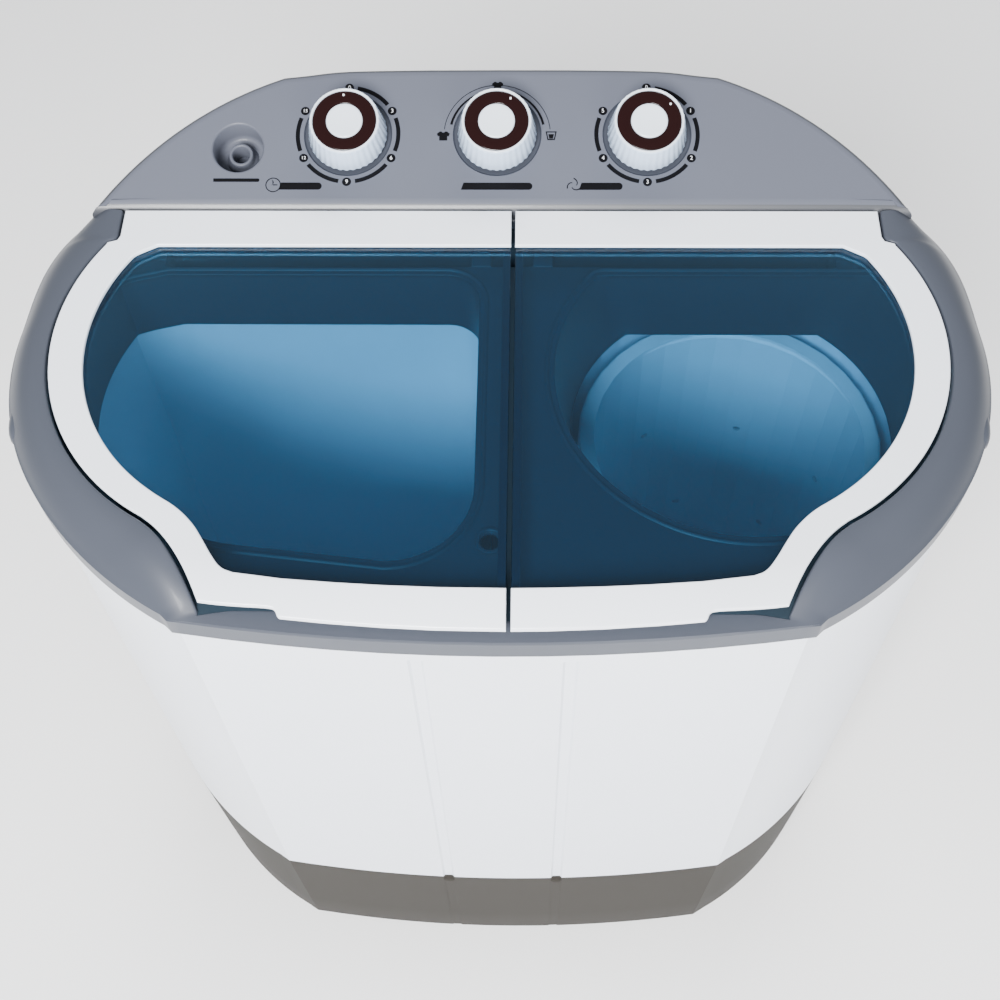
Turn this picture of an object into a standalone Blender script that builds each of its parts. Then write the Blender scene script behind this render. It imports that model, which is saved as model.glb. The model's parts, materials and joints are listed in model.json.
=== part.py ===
"""Twin tub washer: a portable washing machine with a wash tub on the left and a spin basket on the right.

Metres, +Z up, +X to the user's right, +Y to the back. The origin is on the floor, under the middle.
Every piece is one closed solid. Pieces that touch keep a gap of GAP between them.
"""

import math

import bmesh
import bpy
from mathutils import Matrix, Vector

# ---------------------------------------------------------------- driving dimensions
GAP = 0.0003
WALL = 0.0025

LID_Z = 0.652            # top face of the two lids
DECK_Z = LID_Z - 0.019   # top of the deck under the lids
DECK_LOW_Z = DECK_Z - 0.003
COLLAR_LOW_Z = LID_Z - 0.036
LIP_TOP_Z = LID_Z - 0.0205
LEDGE_Z = LID_Z - 0.0187    # top of the collar under the lids' front edge
LEDGE_REACH = 0.010        # the ledge runs this far in under the lids
BASE_TOP_Z = 0.179
BASE_LOW_Z = 0.006
BASE_DRAFT = 0.0035      # the base's walls lean in this much at the bottom

LOBE_X = 0.1273          # the plan's round ends are centred at (+-LOBE_X, 0)
LOBE_R = 0.169
SHOULDER_EXTRA = 0.0712  # the flatter shoulder arcs are this much larger than the lobes
SHOULDER_ANGLE = math.radians(32)
FRONT_Y = 0.190
FRONT_R = 1.21
CREASE_X = 0.178
STEP_X = 0.184
BACK_Y = 0.191
BACK_R = 2.0
PANEL_OUT = 0.0055       # the panel overhangs the collar at the back
COLLAR_GROW = 0.0032     # the collar stands this far outside the cabinet
LIP_T = 0.0022           # wall of the collar's lip, which laps over the cabinet
FRONT_STEPS = 5          # points along the collar's front, side and back
SIDE_STEPS = 18
BACK_STEPS = 12

GRIP_X = 0.2875           # the side grips, one rounded bar on each side of the collar
GRIP_R = 0.0105

GROOVE_X = 0.044
GROOVE_W = 0.009
GROOVE_DEPTH = 0.0012

LID_R = 0.1428           # side arc of the lids, about the lobe centre
LID_GAP = 0.002          # between a lid's edge and the collar
LID_REAR_Y = 0.1035
SEAM_X = 0.0090          # the two lids meet here, a little to the right of the middle
LID_T = 0.003
LID_RIM = 0.007          # depth of the lid frames, over the window
RIM_INSET = 0.004        # the deep part is set in from the lid's edge
HINGE_XS = (-0.185, -0.043, 0.054, 0.188)
HINGE_Y = 0.098
HINGE_Z = LID_Z - 0.004
BEND_Y = -0.150          # the lids are flat behind this line and fall away in front of it
BEND_DROP = 0.010
BEND_LENGTH = 0.040
WINDOW_T = 0.0024
WINDOW_LAP = 0.005

CONSOLE_TILT = math.radians(20.2)
CONSOLE_FRONT_Y = 0.1054
CONSOLE_LOW_Z = LID_Z - 0.0095
CONSOLE_EDGE = 0.006     # width of the rounded band along the panel's outer edge
KNOB_Y = 0.1538
KNOB_XS = {"wash_timer": -0.099, "selector": -0.002, "spin_timer": 0.095}
KNOB_H = 0.0205
KNOB_R_LOW = 0.0258
KNOB_R_TOP = 0.0225
INLET_X = -0.1705
INLET_Y = 0.1450
SPOUT_Z = LID_Z - 0.0540

SKIRT_LOW_Z = LID_Z - 0.070
WASH_X = -0.135
WASH_Y = -0.038
TUB_LOW_Z = 0.250
PULSATOR_R = 0.076
SPIN_X = 0.150
SPIN_Y = -0.010
FUNNEL_R = 0.115
FUNNEL_LOW_R = 0.1034
FUNNEL_LOW_Z = LID_Z - 0.086
CASING_LOW_Z = 0.235
BASKET_R = 0.0985
BASKET_TOP_Z = FUNNEL_LOW_Z - 0.006
BASKET_LOW_Z = 0.262
MOTOR_X = -0.008
MOTOR_Y = -0.030
PULLEY_Z = 0.196
PULLEY_R = 0.062
MOTOR_PULLEY_R = 0.0125
BRAKE_R = 0.038
BRAKE_PIVOT = (0.214, 0.030)
VALVE_X = -0.205
VALVE_Y = 0.020
GLAND_X = 0.128
OUTLET_X = -0.110
OUTLET_Z = 0.052

# ---------------------------------------------------------------- scene and helpers
for old in list(bpy.data.objects):
    bpy.data.objects.remove(old, do_unlink=True)

washer = bpy.data.collections.new("twin_tub_washer")
cutters = bpy.data.collections.new("cutters")
bpy.context.scene.collection.children.link(washer)
bpy.context.scene.collection.children.link(cutters)


def material(name, colour, roughness, metallic=0.0, alpha=1.0):
    """A Principled BSDF material of one colour."""
    made = bpy.data.materials.new(name)
    made.use_nodes = True
    shader = made.node_tree.nodes["Principled BSDF"]
    shader.inputs["Base Color"].default_value = (*colour, 1.0)
    shader.inputs["Roughness"].default_value = roughness
    shader.inputs["Metallic"].default_value = metallic
    shader.inputs["Alpha"].default_value = alpha
    return made


WHITE = material("white_plastic", (0.80, 0.83, 0.87), 0.32)
LID_WHITE = material("lid_plastic", (0.84, 0.87, 0.91), 0.22)
GREY = material("collar_plastic", (0.21, 0.23, 0.26), 0.35)
CONSOLE_GREY = material("console_plastic", (0.28, 0.29, 0.34), 0.40)
BASE_GREY = material("base_plastic", (0.13, 0.125, 0.115), 0.45)
TINT = material("tinted_window", (0.05, 0.20, 0.32), 0.08, alpha=0.45)
KNOB_WHITE = material("knob_plastic", (0.84, 0.88, 0.93), 0.18)
MAROON = material("knob_ring", (0.030, 0.009, 0.010), 0.15)
TUB_WHITE = material("tub_plastic", (0.74, 0.80, 0.85), 0.35)
PULSATOR_BLUE = material("pulsator_plastic", (0.45, 0.62, 0.75), 0.35)
STEEL = material("steel", (0.56, 0.57, 0.58), 0.35, 1.0)
MOTOR_STEEL = material("motor_steel", (0.36, 0.37, 0.39), 0.45, 0.9)
ALUMINIUM = material("aluminium", (0.70, 0.71, 0.72), 0.40, 1.0)
RUBBER = material("rubber", (0.03, 0.03, 0.03), 0.80)
HOSE = material("hose_plastic", (0.45, 0.46, 0.48), 0.50)
BLACK_PLASTIC = material("black_plastic", (0.03, 0.03, 0.035), 0.50)


def put(mesh, name, mat, collection=washer):
    """A new object for a mesh, in a collection."""
    made = bpy.data.objects.new(name, mesh)
    collection.objects.link(made)
    made.data.materials.clear()
    if mat:
        made.data.materials.append(mat)
    if collection is cutters:
        made.hide_render = True
        made.display_type = "WIRE"
    return made


def arc(cx, cy, radius, start, end, steps):
    """Points on an arc, in degrees, ends included."""
    angles = [math.radians(start + (end - start) * i / steps) for i in range(steps + 1)]
    return [(cx + radius * math.cos(a), cy + radius * math.sin(a)) for a in angles]


def mirrored(points):
    """The same outline on the other side of the middle, in an order that still runs anticlockwise."""
    return [(-x, y) for x, y in reversed(points)]


def mesh_of(bm, name):
    bmesh.ops.recalc_face_normals(bm, faces=bm.faces)
    mesh = bpy.data.meshes.new(name)
    bm.to_mesh(mesh)
    bm.free()
    return mesh


def loft(name, rings, mat, collection=washer, caps=True):
    """A skin through rings with the same number of points. Each ring is a list of (x, y, z)."""
    bm = bmesh.new()
    loops = [[bm.verts.new(p) for p in ring] for ring in rings]
    count = len(rings[0])
    for low, high in zip(loops, loops[1:]):
        for i in range(count):
            j = (i + 1) % count
            bm.faces.new((low[i], low[j], high[j], high[i]))
    if caps:
        bm.faces.new(loops[0])
        bm.faces.new(loops[-1])
    return put(mesh_of(bm, name), name, mat, collection)


def prism(name, outline, low, high, mat=None, collection=washer):
    """A flat outline made thick: a 2D curve, filled and extruded, then made a mesh."""
    curve = bpy.data.curves.new(name, "CURVE")
    curve.dimensions = "2D"
    curve.fill_mode = "BOTH"
    curve.extrude = (high - low) / 2
    spline = curve.splines.new("POLY")
    spline.points.add(len(outline) - 1)
    for point, (x, y) in zip(spline.points, outline):
        point.co = (x, y, 0, 1)
    spline.use_cyclic_u = True
    holder = bpy.data.objects.new(name, curve)
    bpy.context.scene.collection.objects.link(holder)
    graph = bpy.context.evaluated_depsgraph_get()
    mesh = bpy.data.meshes.new_from_object(holder.evaluated_get(graph))
    bpy.data.objects.remove(holder)
    bm = bmesh.new()
    bm.from_mesh(mesh)
    bmesh.ops.remove_doubles(bm, verts=bm.verts, dist=1e-6)
    bmesh.ops.translate(bm, verts=bm.verts, vec=(0, 0, (low + high) / 2))
    bpy.data.meshes.remove(mesh)
    return put(mesh_of(bm, name), name, mat, collection)


def turned(name, profile, mat, at=(0, 0, 0), steps=32, collection=washer, tilt=0.0):
    """A closed profile of (radius, height) turned about the Z axis with Screw. It runs down its outer side."""
    mesh = bpy.data.meshes.new(name)
    on_axis = [abs(r) < 1e-9 for r, _ in profile]
    points = [(r, 0, z) for r, z in profile]
    edges = [(i, i + 1) for i in range(len(points) - 1)]
    if not (on_axis[0] and on_axis[-1]):
        edges.append((len(points) - 1, 0))
    mesh.from_pydata(points, edges, [])
    made = put(mesh, name, mat, collection)
    made.location = at
    made.rotation_euler = (tilt, 0, 0)
    screw = made.modifiers.new("turn", "SCREW")
    screw.steps = steps
    screw.render_steps = steps
    screw.use_merge_vertices = True
    screw.merge_threshold = 0.00001
    return made


def rod(name, radius, low, high, mat, at=(0, 0), sides=20, collection=washer):
    """An upright cylinder from z=low to z=high."""
    bm = bmesh.new()
    bmesh.ops.create_cone(bm, cap_ends=True, segments=sides, radius1=radius, radius2=radius, depth=high - low)
    bmesh.ops.translate(bm, verts=bm.verts, vec=(at[0], at[1], (low + high) / 2))
    return put(mesh_of(bm, name), name, mat, collection)


def block(name, low, high, mat, collection=washer, bevel=0.0):
    """A box from its lowest to its highest corner, with its edges rounded if bevel isn't 0."""
    bm = bmesh.new()
    bmesh.ops.create_cube(bm, size=1)
    size = Vector(high) - Vector(low)
    middle = (Vector(high) + Vector(low)) / 2
    bmesh.ops.transform(bm, matrix=Matrix.Translation(middle) @ Matrix.Diagonal((*size, 1)), verts=bm.verts)
    made = put(mesh_of(bm, name), name, mat, collection)
    if bevel:
        rounding = made.modifiers.new("edges", "BEVEL")
        rounding.width = bevel
        rounding.segments = 1
    return made


def lying(name, radius, start, end, mat, sides=14, collection=washer):
    """A cylinder between two points."""
    a, b = Vector(start), Vector(end)
    bm = bmesh.new()
    bmesh.ops.create_cone(
        bm, cap_ends=True, segments=sides, radius1=radius, radius2=radius, depth=(b - a).length
    )
    turn = (b - a).to_track_quat("Z", "Y").to_matrix().to_4x4()
    bmesh.ops.transform(bm, matrix=Matrix.Translation((a + b) / 2) @ turn, verts=bm.verts)
    return put(mesh_of(bm, name), name, mat, collection)


def tube(name, points, radius, mat, bevel_resolution=2, collection=washer):
    """A bent solid tube on a smooth curve through the points."""
    curve = bpy.data.curves.new(name, "CURVE")
    curve.dimensions = "3D"
    curve.bevel_depth = radius
    curve.bevel_resolution = bevel_resolution
    curve.use_fill_caps = True
    spline = curve.splines.new("POLY")
    spline.points.add(len(points) - 1)
    for point, place in zip(spline.points, points):
        point.co = (*place, 1)
    made = bpy.data.objects.new(name, curve)
    collection.objects.link(made)
    curve.materials.append(mat)
    return made


def smooth_route(points, steps=4):
    """Points on a Catmull-Rom curve through a route."""
    route = [Vector(p) for p in points]
    route = [route[0] * 2 - route[1], *route, route[-1] * 2 - route[-2]]
    found = []
    for a, b, c, d in zip(route, route[1:], route[2:], route[3:]):
        for i in range(steps):
            t = i / steps
            found.append(
                0.5 * (2 * b + (c - a) * t + (2 * a - 5 * b + 4 * c - d) * t**2 + (3 * b - a - 3 * c + d) * t**3)
            )
    found.append(route[-2])
    return found


def boolean(target, tool, operation):
    """One exact Boolean, applied by leaving it on the target."""
    step = target.modifiers.new(operation.lower(), "BOOLEAN")
    step.operation = operation
    step.solver = "EXACT"
    step.object = tool


def cut(target, *tools):
    for tool in tools:
        boolean(target, tool, "DIFFERENCE")


def join(target, *tools):
    for tool in tools:
        boolean(target, tool, "UNION")


def pivot(name, place, tilt=0.0):
    """An empty on a joint's axis."""
    empty = bpy.data.objects.new(name, None)
    empty.location = place
    empty.rotation_euler = (tilt, 0, 0)
    empty.empty_display_size = 0.02
    washer.objects.link(empty)
    return empty


def hang(piece, empty):
    """Parents a piece to an empty without moving it."""
    bpy.context.view_layer.update()
    piece.parent = empty
    piece.matrix_parent_inverse = empty.matrix_world.inverted()
    return piece


def at_height(outline, z):
    return [(x, y, z) for x, y in outline]


# ---------------------------------------------------------------- plan outlines
def shoulder_start(grow):
    """Angle below the X axis at which the shoulder arc starts, beside the front crease."""
    radius = LOBE_R + SHOULDER_EXTRA + grow
    centre_x = LOBE_X - SHOULDER_EXTRA * math.cos(SHOULDER_ANGLE)
    return -math.degrees(math.acos((STEP_X - centre_x) / radius))


def back_join(grow):
    """Angle at which the rear shoulder arc meets the nearly flat back."""
    radius = LOBE_R + SHOULDER_EXTRA + grow
    cx = LOBE_X - SHOULDER_EXTRA * math.cos(SHOULDER_ANGLE)
    cy = -SHOULDER_EXTRA * math.sin(SHOULDER_ANGLE)
    low, high = 32.0, 89.0
    for _ in range(40):
        middle = math.radians((low + high) / 2)
        x = cx + radius * math.cos(middle)
        y = cy + radius * math.sin(middle)
        if y < BACK_Y + grow - x * x / (2 * BACK_R):
            low = (low + high) / 2
        else:
            high = (low + high) / 2
    return low


def front_y(x, grow):
    return -(FRONT_Y + grow) + x * x / (2 * FRONT_R)


def body_outline(grow=0.0, grooves=False):
    """The machine's plan, anticlockwise from the middle of the front. grow moves it outwards."""
    cx = LOBE_X - SHOULDER_EXTRA * math.cos(SHOULDER_ANGLE)
    cy = SHOULDER_EXTRA * math.sin(SHOULDER_ANGLE)
    big = LOBE_R + SHOULDER_EXTRA + grow
    xs = [0.015, 0.030, 0.080, 0.115, 0.148]
    half = [(x, front_y(x, grow)) for x in xs]
    if grooves:
        edges = ((-0.5, 0.0), (-0.3, 1.0), (0.3, 1.0), (0.5, 0.0))
        dip = [
            (GROOVE_X + GROOVE_W * s, front_y(GROOVE_X, grow) + GROOVE_DEPTH * deep)
            for s, deep in edges
        ]
        half[2:2] = dip
    half.append((CREASE_X + grow / 2, front_y(CREASE_X, grow)))
    half += arc(cx, cy, big, shoulder_start(grow), -32, 6)
    half += arc(LOBE_X, 0, LOBE_R + grow, -32, 32, 8)[1:]
    half += arc(cx, -cy, big, 32, back_join(grow), 6)[1:]
    half += [(x, BACK_Y + grow - x * x / (2 * BACK_R)) for x in (0.090, 0.045)]
    left = mirrored(half)
    return [(0.0, front_y(0, grow)), *half, (0.0, BACK_Y + grow), *left]


def moved_out(outline, distance):
    """An anticlockwise outline moved outwards (or inwards, if negative) along its own normals."""
    found = []
    count = len(outline)
    for i in range(count):
        before = Vector(outline[i]) - Vector(outline[i - 1])
        after = Vector(outline[(i + 1) % count]) - Vector(outline[i])
        n1 = Vector((before.y, -before.x)).normalized()
        n2 = Vector((after.y, -after.x)).normalized()
        normal = (n1 + n2).normalized()
        stretch = min(2.0, 1 / max(0.3, normal.dot(n1)))
        found.append((outline[i][0] + normal.x * distance * stretch, outline[i][1] + normal.y * distance * stretch))
    return found


def resampled(points, steps):
    """The same line with evenly spaced points."""
    lengths = [0.0]
    for a, b in zip(points, points[1:]):
        lengths.append(lengths[-1] + math.dist(a, b))
    found = []
    for k in range(steps + 1):
        want = lengths[-1] * k / steps
        i = max(j for j in range(len(points) - 1) if lengths[j] <= want + 1e-12)
        t = (want - lengths[i]) / (lengths[i + 1] - lengths[i])
        found.append(tuple(a + (b - a) * t for a, b in zip(points[i], points[i + 1])))
    return found


LID_FRONT_Y = 0.1893
LID_CORNER = (0.1600, -0.1757)
LID_S_CURVE = [LID_CORNER, (0.1655, -0.1640), (0.1722, -0.1520), (0.1806, -0.1400), (0.1893, -0.1306)]
WINDOW_S_CURVE = [
    (0.1420, -0.1595), (0.1490, -0.1570), (0.1550, -0.1490), (0.1610, -0.1390), (0.1675, -0.1290),
    (0.1780, -0.1185), (0.1900, -0.1110),
]


def lid_front_y(x):
    return -LID_FRONT_Y + x * x / (2 * FRONT_R)


def lid_side():
    """The right lid's edge from its front corner, round the side, to its rear corner."""
    side = arc(LOBE_X, 0, LID_R, -60.5, 31.5, 12)
    return [*LID_S_CURVE, *side, (0.2410, 0.0790), (0.2410, LID_REAR_Y)]


def lid_edge(middle_x):
    """The right lid's whole outer edge, from its middle front to its middle rear."""
    front = [(x, lid_front_y(x)) for x in (middle_x, 0.060, 0.1145)]
    set_back = [(0.1185, lid_front_y(0.1185) + 0.0045), (0.1370, -0.1778)]
    return [*front, *set_back, *lid_side(), (middle_x, LID_REAR_Y)]


def lid_rim_edge(middle_x):
    """The outer edge of the rib under a lid, set in from the lid's own edge but not from its rear."""
    inset = moved_out([*lid_edge(middle_x), (middle_x, 0.0)], -RIM_INSET)[:-1]
    inset[0] = (middle_x, inset[0][1])
    return [*inset[:-2], (inset[-2][0], LID_REAR_Y), (middle_x, LID_REAR_Y)]


def window_edge(middle_x, grow=0.0):
    """The right window's edge, from its middle front to its middle rear."""
    front = [(middle_x, -0.1675 - grow), (0.085, -0.1650 - grow)]
    corner = [(x + grow * 0.8, y - grow * 0.7) for x, y in WINDOW_S_CURVE]
    side = arc(0.1196, -0.002, 0.1296 + grow, -54, 32, 10)
    rear = [(0.2240 + grow * 0.7, 0.0700 + grow * 0.4), (0.2160, 0.0745 + grow), (middle_x, 0.0745 + grow)]
    return [*front, *corner, *side, *rear]


def wash_outline(grow=0.0):
    """The wash opening: a big round end on the left, a straight back and a rounded front corner."""
    left = arc(-LOBE_X, -0.004, 0.130 + grow, 152, 258, 12)
    front = arc(-0.062, -0.092, 0.050 + grow, 270, 360, 6)
    rear = arc(-0.034, 0.044, 0.022 + grow, 0, 90, 4)
    far = [(-0.212, 0.066 + grow), (-0.231 - grow * 0.7, 0.0610 + grow * 0.7)]
    return [*left, *front, *rear, *far]


def round_flat(radius, flat_y, steps=40):
    """A circle about the spin axis, cut straight at the back."""
    points = []
    for i in range(steps):
        a = 2 * math.pi * i / steps
        points.append((SPIN_X + radius * math.cos(a), min(SPIN_Y + radius * math.sin(a), flat_y)))
    return points


# ---------------------------------------------------------------- cabinet, base and feet
def shell(name, rings, mat, thickness, floor):
    """Walls through rings, with a floor on the first ring if asked, made thick inwards."""
    bm = bmesh.new()
    loops = [[bm.verts.new(p) for p in ring] for ring in rings]
    count = len(rings[0])
    for low, high in zip(loops, loops[1:]):
        for i in range(count):
            j = (i + 1) % count
            bm.faces.new((low[i], low[j], high[j], high[i]))
    if floor:
        bm.faces.new(list(reversed(loops[0])))
    mesh = bpy.data.meshes.new(name)
    bm.to_mesh(mesh)
    bm.free()
    made = put(mesh, name, mat)
    thick = made.modifiers.new("wall", "SOLIDIFY")
    thick.thickness = thickness
    thick.offset = -1
    thick.use_even_offset = True
    return made


def build_cabinet():
    walls = body_outline(grooves=True)
    rings = [at_height(walls, z) for z in (BASE_TOP_Z + GAP, COLLAR_LOW_Z + 0.008)]
    cabinet = shell("cabinet", rings, WHITE, WALL, False)
    service = block("service_opening_cutter", (-0.095, 0.170, 0.225), (0.095, 0.200, 0.405), None, cutters)
    cord_hole = lying("cord_hole_cutter", 0.008, (GLAND_X, 0.150, 0.240), (GLAND_X, 0.210, 0.240), None, 16, cutters)
    cut(cabinet, service, cord_hole)


def build_base():
    walls = body_outline(grooves=True)
    rings = [
        at_height(moved_out(walls, -BASE_DRAFT - 0.003), BASE_LOW_Z),
        at_height(moved_out(walls, -BASE_DRAFT), BASE_LOW_Z + 0.004), at_height(walls, BASE_TOP_Z),
    ]
    base = shell("base", rings, BASE_GREY, 0.003, True)
    for i, x in enumerate((MOTOR_X - 0.058, MOTOR_X + 0.058)):
        post = rod(f"motor_post_tool_{i}", 0.009, BASE_LOW_Z + 0.001, 0.080, None, (x, MOTOR_Y), 12, cutters)
        join(base, post)
    brake_post = rod("brake_post_tool", 0.0031, BASE_LOW_Z + 0.001, 0.2000, None, BRAKE_PIVOT, 12, cutters)
    join(base, brake_post)
    outlet = lying("outlet_hole_cutter", 0.0125, (OUTLET_X, 0.150, OUTLET_Z), (OUTLET_X, 0.210, OUTLET_Z), None, 20, cutters)
    cut(base, outlet)
    for i, x in enumerate((GROOVE_X, -GROOVE_X)):
        y = front_y(GROOVE_X, 0) + 0.0005
        bump = rod(f"base_bump_tool_{i}", 0.0050, BASE_TOP_Z - 0.006, BASE_TOP_Z - 0.0005, None, (x, y), 14, cutters)
        join(base, bump)
    for side, x in (("left", -0.165), ("right", 0.165)):
        for end, y in (("front", -0.120), ("rear", 0.120)):
            profile = [(0.0155, BASE_LOW_Z - GAP), (0.0140, 0.0), (0.0, 0.0), (0.0, BASE_LOW_Z - GAP)]
            turned(f"foot_{end}_{side}", [profile[3], *profile[:3]], RUBBER, (x, y, 0), 20)


# ---------------------------------------------------------------- top frame
def build_top_frame():
    """The collar round the lids, its deck, the skirts of both openings and the hinge posts."""
    cx = LOBE_X - SHOULDER_EXTRA * math.cos(SHOULDER_ANGLE)
    cy = SHOULDER_EXTRA * math.sin(SHOULDER_ANGLE)
    big = LOBE_R + SHOULDER_EXTRA + COLLAR_GROW
    seat_y = CONSOLE_FRONT_Y - 0.0004
    gap_front = [(x, lid_front_y(x) + LEDGE_REACH) for x in (0.0, 0.060, 0.115)] + [(0.1450, -0.1740)]
    gap_front.append((0.1622, -0.1775))
    gap_side = moved_out([(0.10, -0.17), *lid_side(), (0.0, LID_REAR_Y)], LID_GAP)[1:-1]
    curve_end = len(LID_S_CURVE)
    end_angle = math.degrees(math.asin((seat_y - 0.0008 + cy) / big))
    outer_front = [(x, front_y(x, COLLAR_GROW)) for x in (0.0, 0.045, 0.090, 0.135, CREASE_X + 0.0016)]
    shoulder = arc(cx, cy, big, shoulder_start(COLLAR_GROW), -48, 12)
    lobe = [
        *arc(cx, cy, big, -48, -32, 10), *arc(LOBE_X, 0, LOBE_R + COLLAR_GROW, -32, 32, 40)[1:],
        *arc(cx, -cy, big, 32, end_angle, 4)[1:],
    ]
    back_start = math.degrees(math.asin((seat_y + cy) / big))
    back = arc(cx, -cy, big, back_start, back_join(COLLAR_GROW), 30)
    back += [(x, BACK_Y + COLLAR_GROW - x * x / (2 * BACK_R)) for x in (0.090, 0.045, 0.0)]
    gap_side[-1] = (gap_side[-1][0], seat_y - 0.0008)
    inner_rear = [(0.2435, seat_y), (0.0, seat_y)]
    outer = [
        *resampled(outer_front, FRONT_STEPS), *resampled([outer_front[-1], *shoulder], 6)[1:],
        *resampled(lobe, SIDE_STEPS)[1:], *resampled(back, BACK_STEPS),
    ]
    inner = [
        *resampled(gap_front, FRONT_STEPS), *resampled([gap_front[-1], *gap_side[1:curve_end + 1]], 6)[1:],
        *resampled(gap_side[curve_end:], SIDE_STEPS)[1:], *resampled(inner_rear, BACK_STEPS),
    ]
    seat_from = len(outer) - BACK_STEPS - 1
    top_z = []
    for i in range(len(outer)):
        if i >= seat_from:
            top_z.append(CONSOLE_LOW_Z - GAP)
        elif i <= FRONT_STEPS:
            top_z.append(LEDGE_Z)
        else:
            rise = min(1.0, (i - FRONT_STEPS) / 5)
            top_z.append(LEDGE_Z + (LID_Z - 0.001 - LEDGE_Z) * math.sin(rise * math.pi / 2))

    outer = [*outer, *mirrored(outer[1:-1])]
    inner = [*inner, *mirrored(inner[1:-1])]
    top_z = [*top_z, *reversed(top_z[1:-1])]

    def ring(share, rise):
        """One ring between the outer lip (share 0) and the gap round the lids (share 1)."""
        found = []
        for (ox, oy), (ix, iy), top in zip(outer, inner, top_z):
            low = min(LIP_TOP_Z + 0.0006, top - 0.0006)
            found.append((ox + (ix - ox) * share, oy + (iy - oy) * share, low + (top - low) * rise))
        return found

    lip = [(x, y, min(LIP_TOP_Z, top - 0.0015)) for (x, y), top in zip(outer, top_z)]
    inside = moved_out(outer, -LIP_T)
    rings = [at_height(inside, DECK_LOW_Z), at_height(inside, COLLAR_LOW_Z), at_height(outer, COLLAR_LOW_Z), lip]
    for share, rise in ((0.05, 0.0), (0.22, 0.52), (0.52, 0.88), (1.0, 1.0)):
        rings.append(ring(share, rise))
    rings.append(at_height(inner, DECK_Z))
    frame = loft("top_frame", rings, GREY)
    for side in (-1, 1):
        grip = lying(f"side_grip_tool_{side}", GRIP_R, (side * GRIP_X, -0.064, LID_Z - 0.0247),
                     (side * GRIP_X, 0.030, LID_Z - 0.0247), None, 16, cutters)
        join(frame, grip)
    seat = prism("cabinet_seat_cutter", body_outline(0.0006), COLLAR_LOW_Z - 0.01, COLLAR_LOW_Z + 0.0095,
                 None, cutters)
    cut(frame, seat)

    skirt = prism("wash_skirt_tool", wash_outline(WALL), SKIRT_LOW_Z, DECK_LOW_Z + 0.001, None, cutters)
    rim = 0.0025
    cone = loft(
        "funnel_tool",
        [
            at_height(round_flat(FUNNEL_LOW_R + rim, 1.0), FUNNEL_LOW_Z),
            at_height(round_flat(FUNNEL_LOW_R + rim, 1.0), FUNNEL_LOW_Z + 0.0035),
            at_height(round_flat(FUNNEL_LOW_R + rim, 0.0685), FUNNEL_LOW_Z + 0.0050),
            at_height(round_flat(FUNNEL_LOW_R + rim, 0.0685), FUNNEL_LOW_Z + 0.0080),
            at_height(round_flat(FUNNEL_R + rim, 0.0685), DECK_LOW_Z + 0.001),
        ],
        None, cutters,
    )
    trough = block("hinge_trough_tool", (-0.218, 0.0706, LID_Z - 0.048), (0.218, 0.0944, DECK_LOW_Z + 0.001),
                   None, cutters)
    join(frame, skirt, cone, trough)
    wash_hole = prism("wash_opening_cutter", wash_outline(), SKIRT_LOW_Z - 0.01, LID_Z, None, cutters)
    spin_hole = loft(
        "spin_opening_cutter",
        [
            at_height(round_flat(FUNNEL_LOW_R, 0.066), FUNNEL_LOW_Z - 0.01),
            at_height(round_flat(FUNNEL_LOW_R, 0.066), FUNNEL_LOW_Z + 0.006),
            at_height(round_flat(FUNNEL_R, 0.066), DECK_Z),
            at_height(round_flat(FUNNEL_R, 0.066), DECK_Z + 0.01),
        ],
        None, cutters,
    )
    trough_hole = block("hinge_trough_cutter", (-0.215, 0.0730, LID_Z - 0.0455), (0.215, 0.0920, LID_Z), None, cutters)
    service = block("timer_bay_cutter", (-0.148, 0.1120, LID_Z - 0.06), (0.148, 0.1785, LID_Z), None, cutters)
    well = rod("well_bay_cutter", 0.0215, LID_Z - 0.06, LID_Z, None, (INLET_X, INLET_Y + 0.0045), 28, cutters)
    deck_hole = rod("deck_hole_cutter", 0.0055, LID_Z - 0.06, LID_Z, None, (-0.0021, -0.1290), 18, cutters)
    inlet_slot = lying("spout_cutter", 0.0052, (-0.180, 0.060, SPOUT_Z), (-0.180, 0.075, SPOUT_Z),
                       None, 16, cutters)
    cut(frame, wash_hole, spin_hole, trough_hole, service, well, deck_hole, inlet_slot)
    for i, x in enumerate(HINGE_XS):
        head = lying(f"post_head_tool_{i}", 0.0028, (x - 0.0025, HINGE_Y, HINGE_Z), (x + 0.0025, HINGE_Y, HINGE_Z),
                     None, 16, cutters)
        stem = block(f"post_stem_tool_{i}", (x - 0.0023, HINGE_Y - 0.0025, DECK_LOW_Z + 0.001),
                     (x + 0.0023, HINGE_Y + 0.0025, HINGE_Z - 0.0003), None, cutters)
        bore = lying(f"post_bore_cutter_{i}", 0.0019, (x - 0.01, HINGE_Y, HINGE_Z), (x + 0.01, HINGE_Y, HINGE_Z),
                     None, 12, cutters)
        join(frame, head, stem)
        cut(frame, bore)


# ---------------------------------------------------------------- control panel
def panel_z(y):
    return LID_Z - 0.001 + (y - CONSOLE_FRONT_Y) * math.tan(CONSOLE_TILT)


def panel_outline():
    cx = LOBE_X - SHOULDER_EXTRA * math.cos(SHOULDER_ANGLE)
    cy = -SHOULDER_EXTRA * math.sin(SHOULDER_ANGLE)
    big = LOBE_R + SHOULDER_EXTRA + COLLAR_GROW + 0.0006
    start = math.degrees(math.asin((CONSOLE_FRONT_Y - cy) / big))
    half = arc(cx, cy, big, start, 72, 11)
    back = BACK_Y + COLLAR_GROW + PANEL_OUT
    half += [(0.1265, back - 0.0038), (0.1100, back - 0.0015), (0.0900, back - 0.0006), (0.0450, back - 0.0001)]
    return [(0.0, CONSOLE_FRONT_Y), *half, (0.0, back), *mirrored(half)]


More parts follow.
